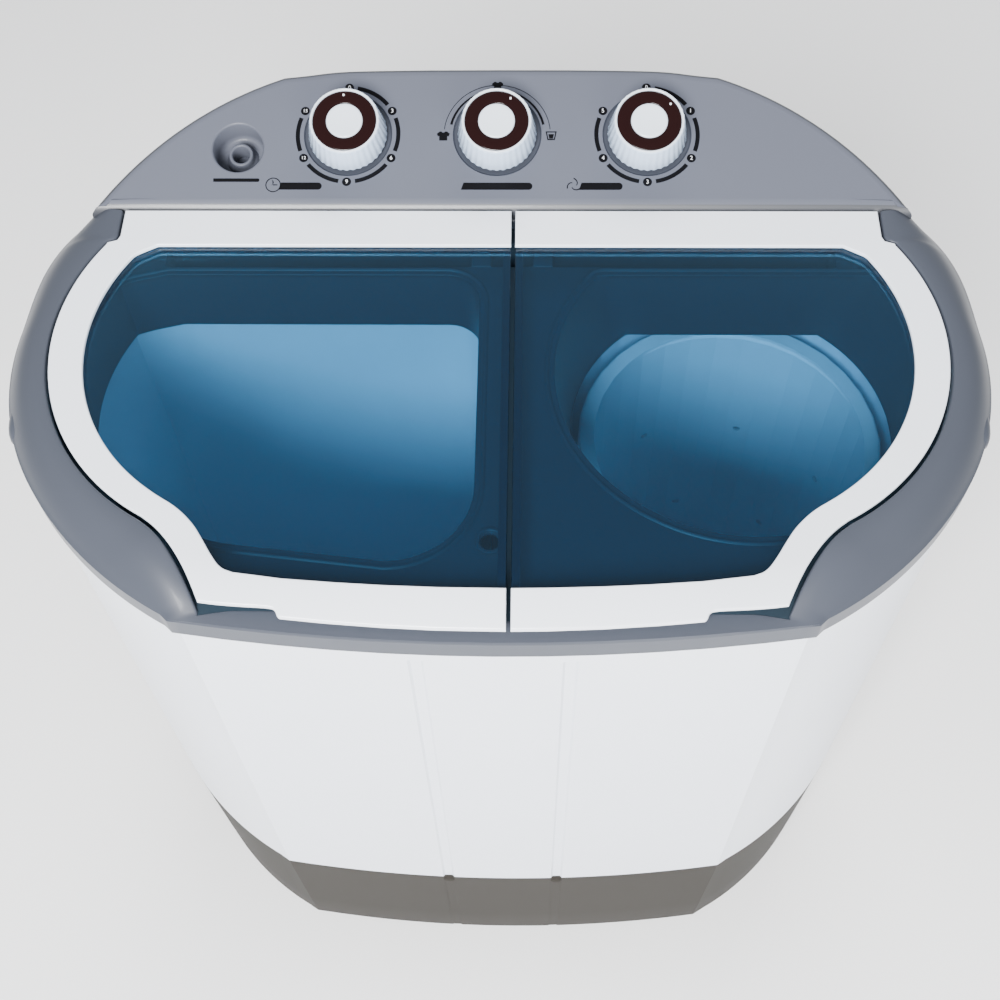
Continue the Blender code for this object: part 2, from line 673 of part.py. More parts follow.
def panel_place(x, y, above=0.0):
    """A point on the tilted panel, or above it along its normal."""
    return Vector((x, y - above * math.sin(CONSOLE_TILT), panel_z(y) + above * math.cos(CONSOLE_TILT)))


def build_console():
    line = panel_outline()
    crown = moved_out(line, -0.0030)
    flat = moved_out(line, -CONSOLE_EDGE)
    flat = [(x, max(y, CONSOLE_FRONT_Y + 0.0022)) for x, y in flat]
    rings = [
        at_height(line, CONSOLE_LOW_Z),
        [(x, y, panel_z(y) - 0.0045) for x, y in line],
        [(x, y, panel_z(y) - 0.0012) for x, y in crown],
        [(x, y, panel_z(y)) for x, y in flat],
    ]
    console = loft("console", rings, CONSOLE_GREY)
    inside = moved_out(line, -0.0036)
    hollow = loft(
        "console_hollow_cutter",
        [at_height(inside, CONSOLE_LOW_Z - 0.02), [(x, y, panel_z(y) - 0.0075) for x, y in inside]],
        None, cutters,
    )
    cut(console, hollow)
    well = lying("inlet_well_tool", 0.0185, panel_place(INLET_X, INLET_Y, -0.021),
                 panel_place(INLET_X, INLET_Y, -0.003), None, 28, cutters)
    join(console, well)
    pit = lying("inlet_well_cutter", 0.0163, panel_place(INLET_X, INLET_Y, -0.0185),
                panel_place(INLET_X, INLET_Y, 0.010), None, 28, cutters)
    neck = lying("inlet_neck_cutter", 0.0083, panel_place(INLET_X, INLET_Y, -0.030),
                 panel_place(INLET_X, INLET_Y, -0.010), None, 20, cutters)
    cut(console, pit, neck)
    for name, x in KNOB_XS.items():
        hole = lying(f"{name}_shaft_cutter", 0.0042, panel_place(x, KNOB_Y, -0.02),
                     panel_place(x, KNOB_Y, 0.01), None, 16, cutters)
        cut(console, hole)


def build_water_inlet():
    profile = [
        (0.0070, 0.0085), (0.0080, 0.0075), (0.0080, -0.0028), (0.0120, -0.0028), (0.0120, -0.0050),
        (0.0070, -0.0050), (0.0070, -0.0200), (0.0055, -0.0200), (0.0055, 0.0085),
    ]
    floor = panel_place(INLET_X, INLET_Y, -0.0185)
    turned("water_inlet", profile, CONSOLE_GREY, floor, 16, tilt=CONSOLE_TILT)
    barb = panel_place(INLET_X, INLET_Y, -0.0185 - 0.0210)
    below = panel_place(INLET_X, INLET_Y, -0.0185 - 0.0290)
    route = [barb, below, (-0.176, 0.146, LID_Z - 0.048), (-0.180, 0.120, SPOUT_Z), (-0.180, 0.098, SPOUT_Z),
             (-0.180, 0.0712, SPOUT_Z)]
    tube("inlet_hose", smooth_route(route, 3), 0.0048, HOSE)


def build_knob(name, x):
    top = KNOB_H
    profile = [
        (0.0, top - 0.0025), (0.0204, top - 0.0025), (0.0206, top - 0.0002), (0.0217, top),
        (KNOB_R_TOP, top - 0.0008), (KNOB_R_LOW, 0.0010), (KNOB_R_LOW - 0.0020, 0.0010),
        (KNOB_R_TOP - 0.0025, top - 0.0055), (0.0055, top - 0.0055), (0.0055, 0.0015),
        (0.0033, 0.0015), (0.0033, 0.0125), (0.0, 0.0125),
    ]
    place = panel_place(x, KNOB_Y)
    axis = pivot(f"{name}_axis", place, CONSOLE_TILT)
    pieces = [
        turned(f"{name}_knob", profile, KNOB_WHITE, place, 24, tilt=CONSOLE_TILT),
        turned(
            f"{name}_knob_ring",
            [(0.0201, top - 0.0004), (0.0201, top - 0.0022), (0.0119, top - 0.0022), (0.0119, top - 0.0004)],
            MAROON, place, 24, tilt=CONSOLE_TILT,
        ),
        turned(
            f"{name}_knob_cap",
            [(0.0, top - 0.0001), (0.0110, top - 0.0001), (0.0116, top - 0.0006), (0.0116, top - 0.0022),
             (0.0, top - 0.0022)],
            KNOB_WHITE, place, 20, tilt=CONSOLE_TILT,
        ),
        turned(
            f"{name}_shaft",
            [(0.0, 0.0122), (0.0030, 0.0122), (0.0030, -0.0079), (0.0, -0.0079)],
            STEEL, place, 10, tilt=CONSOLE_TILT,
        ),
    ]
    for piece in pieces:
        hang(piece, axis)


def build_switch(name, x, half_x, half_y, mat):
    """The timer or selector box behind a knob, hanging under the panel."""
    body = block(name, (-half_x, -half_y, -0.0260), (half_x, half_y, -0.0082), mat, bevel=0.0012)
    body.location = panel_place(x, KNOB_Y)
    body.rotation_euler = (CONSOLE_TILT, 0, 0)


# ---------------------------------------------------------------- lids
def bend_drop(y):
    if y >= BEND_Y:
        return 0.0
    return BEND_DROP * ((BEND_Y - y) / BEND_LENGTH) ** 2


def bend(piece):
    """Bends the front of a flat piece down: cuts it across in strips, then lowers them."""
    bm = bmesh.new()
    bm.from_mesh(piece.data)
    for step in range(6):
        everything = bm.verts[:] + bm.edges[:] + bm.faces[:]
        line = (0, BEND_Y - step * BEND_LENGTH / 5, 0)
        bmesh.ops.bisect_plane(bm, geom=everything, dist=1e-6, plane_co=line, plane_no=(0, 1, 0))
    for vert in bm.verts:
        vert.co.z -= bend_drop(vert.co.y)
    bm.to_mesh(piece.data)
    bm.free()
    return piece


def flipped(outline, side):
    """An outline made for the right lid, kept for side 1 or mirrored to the left for side -1."""
    return outline if side == 1 else mirrored(outline)


def build_lid(name, side, hinge_xs):
    middle = SEAM_X * side + 0.0013
    rebate = WINDOW_LAP + GAP
    edge = lid_edge(middle)
    top_line = [*edge, *reversed(window_edge(middle))]
    rim_line = [*lid_rim_edge(middle), *reversed(window_edge(middle, rebate))]
    frame = prism(f"{name}_frame", flipped(top_line, side), LID_Z - LID_T, LID_Z, LID_WHITE)
    bend(frame)
    rim = prism(f"{name}_rim_tool", flipped(rim_line, side), LID_Z - LID_RIM, LID_Z - LID_T + 0.0005, None, cutters)
    bend(rim)
    join(frame, rim)
    for i, x in enumerate(hinge_xs):
        pocket = block(f"{name}_pocket_cutter_{i}", (x - 0.0035, HINGE_Y - 0.0070, LID_Z - 0.0100),
                       (x + 0.0035, LID_REAR_Y + 0.01, LID_Z - 0.0008), None, cutters)
        pin = lying(f"{name}_pin_tool_{i}", 0.0015, (x - 0.0060, HINGE_Y, HINGE_Z), (x + 0.0060, HINGE_Y, HINGE_Z),
                    None, 12, cutters)
        cut(frame, pocket)
        join(frame, pin)
    sheet = prism(
        f"{name}_window", flipped(window_edge(middle, WINDOW_LAP), side),
        LID_Z - LID_T - GAP - WINDOW_T, LID_Z - LID_T - GAP, TINT,
    )
    bend(sheet)
    axis = pivot(f"{name}_axis", (sum(hinge_xs) / 2, HINGE_Y, HINGE_Z))
    hang(frame, axis)
    hang(sheet, axis)


# ---------------------------------------------------------------- wash side
def build_wash_tub():
    top = SKIRT_LOW_Z + 0.010
    rings = [
        at_height(wash_outline(-0.016), TUB_LOW_Z),
        at_height(wash_outline(-0.008), TUB_LOW_Z + 0.003),
        at_height(wash_outline(-0.002), TUB_LOW_Z + 0.014),
        at_height(wash_outline(0.0032), top),
    ]
    tub = shell("wash_tub", rings, TUB_WHITE, WALL, True)
    tub.modifiers["wall"].offset = 1
    shaft_hole = rod("tub_shaft_cutter", 0.0150, TUB_LOW_Z - 0.01, TUB_LOW_Z + 0.01, None, (WASH_X, WASH_Y), 20, cutters)
    drain = rod("tub_drain_cutter", 0.0055, TUB_LOW_Z - 0.01, TUB_LOW_Z + 0.01, None, (VALVE_X, VALVE_Y), 18, cutters)
    cut(tub, shaft_hole, drain)


def build_pulsator():
    place = (WASH_X, WASH_Y, TUB_LOW_Z)
    profile = [
        (0.0, 0.0210), (0.0090, 0.0205), (0.0120, 0.0170), (0.0200, 0.0165), (0.0420, 0.0125),
        (PULSATOR_R - 0.004, 0.0105), (PULSATOR_R, 0.0080), (PULSATOR_R, 0.0060), (0.0180, 0.0060), (0.0180, 0.0040), (0.0050, 0.0040), (0.0050, 0.0140), (0.0, 0.0140),
    ]
    axis = pivot("pulsator_axis", place)
    disc = turned("pulsator", profile, PULSATOR_BLUE, place, 32)
    for i in range(4):
        fin = block(f"fin_tool_{i}", (-0.004, 0.0180, 0.0090), (0.004, 0.0700, 0.0230), None, cutters, bevel=0.003)
        fin.rotation_euler = (0, 0, math.pi / 2 * i)
        fin.location = (0, 0, 0)
        fin.parent = disc
        join(disc, fin)
    shaft = rod("pulsator_shaft", 0.0047, 0.1860, TUB_LOW_Z + 0.0137, STEEL, (WASH_X, WASH_Y), 16)
    pulley = pulley_wheel("wash_pulley", PULLEY_R, 0.0050, (WASH_X, WASH_Y), 36)
    for piece in (disc, shaft, pulley):
        hang(piece, axis)


def pulley_wheel(name, radius, bore, place, steps):
    """A V-grooved wheel on a shaft, level with the belt."""
    groove = 0.0035
    profile = [
        (bore, 0.0055), (radius, 0.0055), (radius, 0.0040), (radius - groove, 0.0), (radius, -0.0040),
        (radius, -0.0055), (bore, -0.0055),
    ]
    return turned(name, profile, ALUMINIUM, (*place, PULLEY_Z), steps)


def build_wash_drive():
    profile = [
        (0.0052, 0.0032), (0.0145, 0.0032), (0.0145, -0.0030), (0.0260, -0.0030), (0.0260, -0.0070),
        (0.0130, -0.0080), (0.0130, -0.0400), (0.0052, -0.0400),
    ]
    turned("wash_bearing_housing", profile, ALUMINIUM, (WASH_X, WASH_Y, TUB_LOW_Z), 18)
    motor = turned(
        "wash_motor",
        [(0.0044, 0.1640), (0.0180, 0.1640), (0.0180, 0.1580), (0.0440, 0.1580), (0.0460, 0.1540), (0.0460, 0.0960),
         (0.0440, 0.0920), (0.0, 0.0920), (0.0, 0.0960), (0.0044, 0.0960)],
        MOTOR_STEEL, (MOTOR_X, MOTOR_Y, 0), 24,
    )
    plate = block("wash_motor_foot_tool", (MOTOR_X - 0.068, MOTOR_Y - 0.016, 0.0803),
                  (MOTOR_X + 0.068, MOTOR_Y + 0.016, 0.0935), None, cutters, bevel=0.001)
    join(motor, plate)
    axis = pivot("wash_motor_axis", (MOTOR_X, MOTOR_Y, PULLEY_Z))
    shaft = rod("wash_motor_shaft", 0.0041, 0.0965, PULLEY_Z + 0.0090, STEEL, (MOTOR_X, MOTOR_Y), 14)
    small = pulley_wheel("motor_pulley", MOTOR_PULLEY_R, 0.0044, (MOTOR_X, MOTOR_Y), 24)
    hang(shaft, axis)
    hang(small, axis)
    build_belt()


def build_belt():
    """An open belt round both pulleys, lying in their grooves."""
    a, b = Vector((WASH_X, WASH_Y)), Vector((MOTOR_X, MOTOR_Y))
    low_r, high_r = PULLEY_R - 0.0005, MOTOR_PULLEY_R - 0.0005
    heading = math.degrees(math.atan2(b.y - a.y, b.x - a.x))
    lean = math.degrees(math.acos((low_r - high_r) / (b - a).length))

    def loop(extra):
        big = arc(a.x, a.y, low_r + extra, heading + lean, heading + 360 - lean, 24)
        small = arc(b.x, b.y, high_r + extra, heading - lean, heading + lean, 8)
        return [*big, *small]

    belt = prism("drive_belt", loop(0.0030), PULLEY_Z - 0.0016, PULLEY_Z + 0.0016, RUBBER)
    hollow = prism("belt_cutter", loop(0.0), PULLEY_Z - 0.01, PULLEY_Z + 0.01, None, cutters)
    cut(belt, hollow)


def build_drain():
    top = TUB_LOW_Z - WALL - GAP
    profile = [
        (0.0125, top), (0.0190, top), (0.0190, top - 0.0040), (0.0160, top - 0.0060), (0.0160, 0.2040),
        (0.0080, 0.2040), (0.0080, 0.2080), (0.0135, 0.2080), (0.0135, top - 0.0050),
    ]
    turned("drain_valve_body", profile, WHITE, (VALVE_X, VALVE_Y, 0), 16)
    plug = turned(
        "drain_plunger",
        [(0.0, 0.2420), (0.0028, 0.2420), (0.0028, 0.2150), (0.0110, 0.2135), (0.0110, 0.2083), (0.0, 0.2083)],
        RUBBER, (VALVE_X, VALVE_Y, 0), 20,
    )
    hang(plug, pivot("drain_plunger_axis", (VALVE_X, VALVE_Y, 0.2083)))
    turns, sides, start, length = 4, 8, 0.2162, 0.0300
    coil = []
    for i in range(turns * sides + 1):
        a = 2 * math.pi * i / sides
        coil.append((VALVE_X + 0.0072 * math.cos(a), VALVE_Y + 0.0072 * math.sin(a), start + length * i / (turns * sides)))
    tube("drain_spring", coil, 0.0007, STEEL, 1)
    end = (OUTLET_X, 0.1652, OUTLET_Z)
    route = [(VALVE_X, VALVE_Y, 0.2030), (VALVE_X, VALVE_Y, 0.175), (VALVE_X, 0.035, 0.120), (-0.170, 0.095, 0.070),
             (-0.118, 0.135, OUTLET_Z), (OUTLET_X, 0.1540, OUTLET_Z), end]
    tube("drain_hose", smooth_route(route, 3), 0.0090, HOSE)
    spout = turned(
        "drain_outlet",
        [(0.0110, 0.0282), (0.0122, 0.0272), (0.0122, 0.0145), (0.0180, 0.0145), (0.0180, 0.0120), (0.0120, 0.0120),
         (0.0120, 0.0), (0.0090, 0.0), (0.0090, 0.0282)],
        WHITE, (OUTLET_X, 0.1661, OUTLET_Z), 16,
    )
    spout.rotation_euler = (-math.pi / 2, 0, 0)


# ---------------------------------------------------------------- spin side
def build_spin_casing():
    low, top = CASING_LOW_Z, FUNNEL_LOW_Z + 0.0060
    inner = FUNNEL_LOW_R + 0.0025 + 0.0006
    profile = [
        (inner, top), (inner + 0.0045, top), (inner + 0.0045, top - 0.0030), (inner + WALL, top - 0.0040),
        (inner + WALL, low + 0.0060), (inner - 0.0030, low), (0.0240, low), (0.0240, low + WALL),
        (inner - 0.0035, low + WALL), (inner, low + 0.0070),
    ]
    turned("spin_casing", profile, WHITE, (SPIN_X, SPIN_Y, 0), 36)


def build_spin_basket():
    axis = pivot("spin_basket_axis", (SPIN_X, SPIN_Y, BASKET_LOW_Z))
    low, top = BASKET_LOW_Z, BASKET_TOP_Z
    profile = [
        (BASKET_R - 0.0105, top), (BASKET_R - 0.0015, top), (BASKET_R, top - 0.0015), (BASKET_R, top - 0.0100),
        (BASKET_R - 0.0030, top - 0.0120), (BASKET_R - 0.0050, low + 0.0060), (BASKET_R - 0.0110, low),
        (0.0065, low), (0.0065, low + 0.0220), (0.0200, low + 0.0200), (0.0360, low + 0.0040),
        (BASKET_R - 0.0125, low + 0.0025), (BASKET_R - 0.0075, low + 0.0080), (BASKET_R - 0.0052, top - 0.0130),
        (BASKET_R - 0.0025, top - 0.0090), (BASKET_R - 0.0025, top - 0.0040), (BASKET_R - 0.0105, top - 0.0025),
    ]
    basket = turned("spin_basket", profile, TUB_WHITE, (SPIN_X, SPIN_Y, 0), 32)
    for row in range(2):
        for k in range(8):
            a = 2 * math.pi * (k + 0.5 * row) / 8 + 0.1
            z = low + 0.070 + 0.110 * row
            start = (SPIN_X + 0.080 * math.cos(a), SPIN_Y + 0.080 * math.sin(a), z)
            end = (SPIN_X + 0.108 * math.cos(a), SPIN_Y + 0.108 * math.sin(a), z)
            cut(basket, lying(f"basket_hole_cutter_{row}_{k}", 0.0030, start, end, None, 6, cutters))
    shaft = turned(
        "spin_shaft",
        [(0.0, low + 0.0290), (0.0060, low + 0.0280), (0.0060, 0.2160), (0.0080, 0.2160), (0.0080, 0.2095),
         (0.0, 0.2095)],
        STEEL, (SPIN_X, SPIN_Y, 0), 14,
    )
    nut = turned(
        "basket_nut",
        [(0.0073, low + 0.0262), (0.0100, low + 0.0262), (0.0110, low + 0.0223), (0.0073, low + 0.0223)],
        BLACK_PLASTIC, (SPIN_X, SPIN_Y, 0), 6,
    )
    drum = turned(
        "brake_drum",
        [(0.0, 0.2090), (0.0120, 0.2090), (BRAKE_R, 0.2040), (BRAKE_R, 0.1830), (BRAKE_R - 0.003, 0.1830),
         (BRAKE_R - 0.003, 0.2000), (0.0120, 0.2000), (0.0120, 0.1830), (0.0047, 0.1830), (0.0047, 0.0865),
         (0.0, 0.0865)],
        ALUMINIUM, (SPIN_X, SPIN_Y, 0), 28,
    )
    for piece in (basket, shaft, nut, drum):
        hang(piece, axis)
    seal = [
        (0.0064, 0.2440), (0.0160, 0.2430), (0.0225, 0.2390), (0.0225, 0.2345), (0.0300, 0.2345), (0.0300, 0.2315),
        (0.0200, 0.2315), (0.0110, 0.2225), (0.0064, 0.2215),
    ]
    turned("spin_seal", seal, RUBBER, (SPIN_X, SPIN_Y, 0), 18)


def build_spin_drive():
    motor = turned(
        "spin_motor",
        [(0.0050, 0.1770), (0.0200, 0.1770), (0.0200, 0.1700), (0.0530, 0.1700), (0.0560, 0.1660), (0.0560, 0.0860),
         (0.0530, 0.0820), (0.0, 0.0820), (0.0, 0.0860), (0.0050, 0.0860)],
        MOTOR_STEEL, (SPIN_X, SPIN_Y, 0), 28,
    )
    for k in range(3):
        a = math.radians(90 + 120 * k)
        x, y = SPIN_X + 0.0680 * math.cos(a), SPIN_Y + 0.0680 * math.sin(a)
        ear = block(f"motor_ear_tool_{k}", (0.040, -0.012, 0.0820), (0.080, 0.012, 0.0870), None, cutters, bevel=0.001)
        ear.location = (SPIN_X, SPIN_Y, 0)
        ear.rotation_euler = (0, 0, a)
        join(motor, ear)
        height = (0.0817, BASE_LOW_Z + 0.0033)
        middle = (height[0] + height[1]) / 2
        profile = [(0.0, height[0]), (0.0110, height[0]), (0.0110, height[0] - 0.012)]
        for i in range(3):
            z = height[0] - 0.014 - i * (height[0] - height[1] - 0.028) / 3
            profile += [(0.0085, z), (0.0105, z - 0.0065)]
        profile += [(0.0110, height[1] + 0.012), (0.0110, height[1]), (0.0, height[1])]
        turned(f"motor_mount_{k + 1}", profile, RUBBER, (x, y, 0), 10)


def build_brake():
    px, py = BRAKE_PIVOT
    axis = pivot("brake_lever_axis", (px, py, 0.1900))
    toward = Vector((SPIN_X - px, SPIN_Y - py)).normalized()
    tip = Vector((SPIN_X, SPIN_Y)) - toward * (BRAKE_R + 0.0040)
    side = Vector((-toward.y, toward.x))
    lever = lying("brake_lever", 0.0070, (px, py, 0.1860), (px, py, 0.1960), STEEL, 18)
    arm_end = tip + side * 0.030
    arm = prism(
        "brake_arm_tool",
        [tuple(Vector((px, py)) - side * 0.004 - toward * 0.002), tuple(Vector((px, py)) + side * 0.004 - toward * 0.002),
         tuple(arm_end + side * 0.004), tuple(arm_end - side * 0.004)][::-1],
        0.1870, 0.1950, None, cutters,
    )
    join(lever, arm)
    bore = rod("brake_bore_cutter", 0.0034, 0.1700, 0.2100, None, (px, py), 14, cutters)
    cut(lever, bore)
    hang(lever, axis)


# ---------------------------------------------------------------- back
def build_rear_cover():
    xs = [-0.110 + 0.220 * i / 8 for i in range(9)]

    def back_y(x, out):
        return BACK_Y - x * x / (2 * BACK_R) + out

    line = [(x, back_y(x, GAP)) for x in xs]
    line += [(x, back_y(x, GAP + 0.0018)) for x in reversed(xs)]
    cover = prism("rear_cover", line, 0.2100, 0.4200, WHITE)
    for k in range(6):
        z = 0.270 + 0.018 * k
        cut(cover, block(f"vent_cutter_{k}", (-0.050, 0.170, z), (0.050, 0.210, z + 0.005), None, cutters))
    corners = [(sx * 0.1025, z) for sx in (-1, 1) for z in (0.2170, 0.4130)]
    for i, (x, z) in enumerate(corners):
        y = back_y(abs(x), GAP + 0.0018) + 0.0007
        screw = turned(
            f"cover_screw_{i + 1}",
            [(0.0, 0.0012), (0.0026, 0.0010), (0.0034, 0.0003), (0.0034, 0.0), (0.0, 0.0)],
            STEEL, (x, y, z), 8,
        )
        screw.rotation_euler = (-math.pi / 2, 0, 0)
    gland = turned(
        "cord_gland",
        [(0.0045, 0.0030), (0.0110, 0.0020), (0.0110, 0.0), (0.0076, 0.0), (0.0076, -0.0060), (0.0045, -0.0060)],
        BLACK_PLASTIC, (GLAND_X, BACK_Y - GLAND_X**2 / (2 * BACK_R) + 0.0016, 0.240), 16,
    )
    gland.rotation_euler = (-math.pi / 2, 0, 0)


build_cabinet()
build_base()
build_top_frame()
build_console()
build_water_inlet()
for knob, knob_x in KNOB_XS.items():
    build_knob(knob, knob_x)
build_switch("wash_timer_body", KNOB_XS["wash_timer"], 0.021, 0.016, BLACK_PLASTIC)
build_switch("selector_switch", KNOB_XS["selector"], 0.017, 0.014, BLACK_PLASTIC)
build_switch("spin_timer_body", KNOB_XS["spin_timer"], 0.021, 0.016, BLACK_PLASTIC)
build_lid("wash_lid", -1, HINGE_XS[:2])
build_lid("spin_lid", 1, HINGE_XS[2:])
build_wash_tub()
build_pulsator()
build_wash_drive()
build_drain()
build_spin_casing()
build_spin_basket()
build_spin_drive()
build_brake()
build_rear_cover()

for piece in washer.objects:
    if piece.type == "MESH":
        piece.data.shade_smooth()
        piece.data.set_sharp_from_angle(angle=math.radians(32))
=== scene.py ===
"""Looks of the twin tub washer: finer surfaces, materials, printed marks, light and camera.

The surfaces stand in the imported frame. Metres, +Z up. Every piece rides on the body of the CAD part it shows.
"""

import json
import math

import bmesh
import bpy
from mathutils import Matrix, Vector


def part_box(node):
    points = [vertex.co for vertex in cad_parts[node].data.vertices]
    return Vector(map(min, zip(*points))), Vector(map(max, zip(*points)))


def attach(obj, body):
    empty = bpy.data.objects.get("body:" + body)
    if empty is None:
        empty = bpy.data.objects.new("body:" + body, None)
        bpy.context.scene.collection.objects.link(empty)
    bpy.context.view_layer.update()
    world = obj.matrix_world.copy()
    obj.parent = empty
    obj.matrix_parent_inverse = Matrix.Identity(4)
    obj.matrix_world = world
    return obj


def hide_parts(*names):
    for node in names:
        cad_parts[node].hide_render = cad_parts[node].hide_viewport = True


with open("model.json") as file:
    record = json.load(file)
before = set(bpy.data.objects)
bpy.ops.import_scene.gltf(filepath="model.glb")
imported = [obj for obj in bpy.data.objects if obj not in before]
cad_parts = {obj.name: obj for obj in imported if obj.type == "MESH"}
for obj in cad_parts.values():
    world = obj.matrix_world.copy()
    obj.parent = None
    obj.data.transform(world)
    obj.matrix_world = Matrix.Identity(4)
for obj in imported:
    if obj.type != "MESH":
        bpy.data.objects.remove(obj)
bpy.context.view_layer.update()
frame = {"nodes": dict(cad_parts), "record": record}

# ---------------------------------------------------------------- driving dimensions
LID_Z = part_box("wash_lid_frame")[1][2]     # top face of the lids
GAP = 0.0003
WALL = 0.0025
DECK_Z = LID_Z - 0.019         # top of the deck under the lids
DECK_LOW_Z = DECK_Z - 0.003
COLLAR_LOW_Z = LID_Z - 0.036
LIP_TOP_Z = LID_Z - 0.0205
LEDGE_Z = LID_Z - 0.0187       # top of the collar under the lids' front edge
LEDGE_REACH = 0.010            # the ledge runs this far in under the lids
BASE_TOP_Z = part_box("cabinet")[0][2] - GAP
BASE_LOW_Z = 0.006
BASE_DRAFT = 0.0045            # the base leans in this much at the bottom

LOBE_X = 0.1273                # the plan's round ends are centred at (+-LOBE_X, 0)
LOBE_R = 0.169
SHOULDER_EXTRA = 0.0712        # the flatter shoulder arcs are this much larger than the lobes
SHOULDER_ANGLE = math.radians(32)
FRONT_Y = 0.190
FRONT_R = 1.21
CREASE_X = 0.178
STEP_X = 0.184
BACK_Y = 0.191
BACK_R = 2.0
PANEL_OUT = 0.0055             # the panel overhangs the collar at the back
COLLAR_GROW = 0.0032           # the collar stands this far outside the cabinet
SWELL = 0.0095                 # and bulges out this much more behind the middle of its sides
LIP_T = 0.0022                 # wall of the collar's lip
GRIP_X = 0.2838                # centre of the side grips
GRIP_Y = -0.0165
GRIP_HALF = 0.047
GRIP_R = 0.0105
GRIP_Z = LID_Z - 0.0247
DECK_HOLE = (-0.0021, -0.1290)
BRIDGE_XS = (-0.0115, 0.0280)  # ribs across the trough behind the openings
GROOVE_X = 0.044
GROOVE_W = 0.0090
GROOVE_DEPTH = 0.0016
GROOVE_TOP_Z = LID_Z - 0.0500

LID_R = 0.1428
LID_GAP = 0.002
LID_REAR_Y = 0.1035
SEAM_X = 0.0090                # the lids meet here, right of the middle
LID_T = 0.003
LID_RIM = 0.007
RIM_INSET = 0.004              # the rib under a lid is set in from its edge
HINGE_XS = (-0.185, -0.043, 0.054, 0.188)
HINGE_Y = 0.098
HINGE_Z = LID_Z - 0.004
NOTCH_HALF = 0.0050            # a notch in the lid's rib clears each hinge clip
NOTCH_Y = HINGE_Y - 0.0070
BEND_Y = -0.150                # the lids fall away in front of this line
BEND_DROP = 0.010
BEND_LENGTH = 0.040
WINDOW_T = 0.0024
WINDOW_LAP = 0.005

CONSOLE_TILT = math.radians(20.2)
CONSOLE_FRONT_Y = 0.1054
CONSOLE_LOW_Z = LID_Z - 0.0095
KNOB_Y = 0.1538
KNOB_XS = {"wash_timer": -0.099, "selector": -0.002, "spin_timer": 0.095}
KNOB_H = 0.0205
INLET_X = -0.1705
INLET_Y = 0.1450

SKIRT_LOW_Z = LID_Z - 0.070
TUB_LOW_Z = 0.250
SHAFT_HOLE = (-0.135, -0.038)
DRAIN_HOLE = (-0.205, 0.020)
SPIN_X = 0.150
SPIN_Y = -0.010
FUNNEL_R = 0.115
FUNNEL_LOW_R = 0.1034
FUNNEL_LOW_Z = LID_Z - 0.086


# ---------------------------------------------------------------- materials
def new_material(name):
    made = bpy.data.materials.new(name)
    made.use_nodes = True
    tree = made.node_tree
    return made, tree, tree.nodes["Principled BSDF"]


def plastic(name, colour, roughness, coat=0.0, mottle=0.03, grain=0.02, scale=900.0, metallic=0.0, gloss=0.5):
    """A plastic or metal with a faint change of tone and a fine grain."""
    made, tree, shader = new_material(name)
    shader.inputs["Specular IOR Level"].default_value = gloss
    shader.inputs["Roughness"].default_value = roughness
    shader.inputs["Metallic"].default_value = metallic
    shader.inputs["Coat Weight"].default_value = coat
    shader.inputs["Coat Roughness"].default_value = 0.12
    place = tree.nodes.new("ShaderNodeTexCoord")
    broad = tree.nodes.new("ShaderNodeTexNoise")
    broad.inputs["Scale"].default_value = 9.0
    broad.inputs["Detail"].default_value = 3.0
    tree.links.new(place.outputs["Object"], broad.inputs["Vector"])
    tone = tree.nodes.new("ShaderNodeMix")
    tone.data_type = "RGBA"
    tone.inputs[6].default_value = (*(c * (1 - mottle) for c in colour), 1)
    tone.inputs[7].default_value = (*(min(1.0, c * (1 + mottle)) for c in colour), 1)
    tree.links.new(broad.outputs["Fac"], tone.inputs[0])
    tree.links.new(tone.outputs[2], shader.inputs["Base Color"])
    fine = tree.nodes.new("ShaderNodeTexNoise")
    fine.inputs["Scale"].default_value = scale
    fine.inputs["Detail"].default_value = 2.0
    tree.links.new(place.outputs["Object"], fine.inputs["Vector"])
    bump = tree.nodes.new("ShaderNodeBump")
    bump.inputs["Strength"].default_value = grain
    bump.inputs["Distance"].default_value = 0.0002
    tree.links.new(fine.outputs["Fac"], bump.inputs["Height"])
    tree.links.new(bump.outputs["Normal"], shader.inputs["Normal"])
    return made


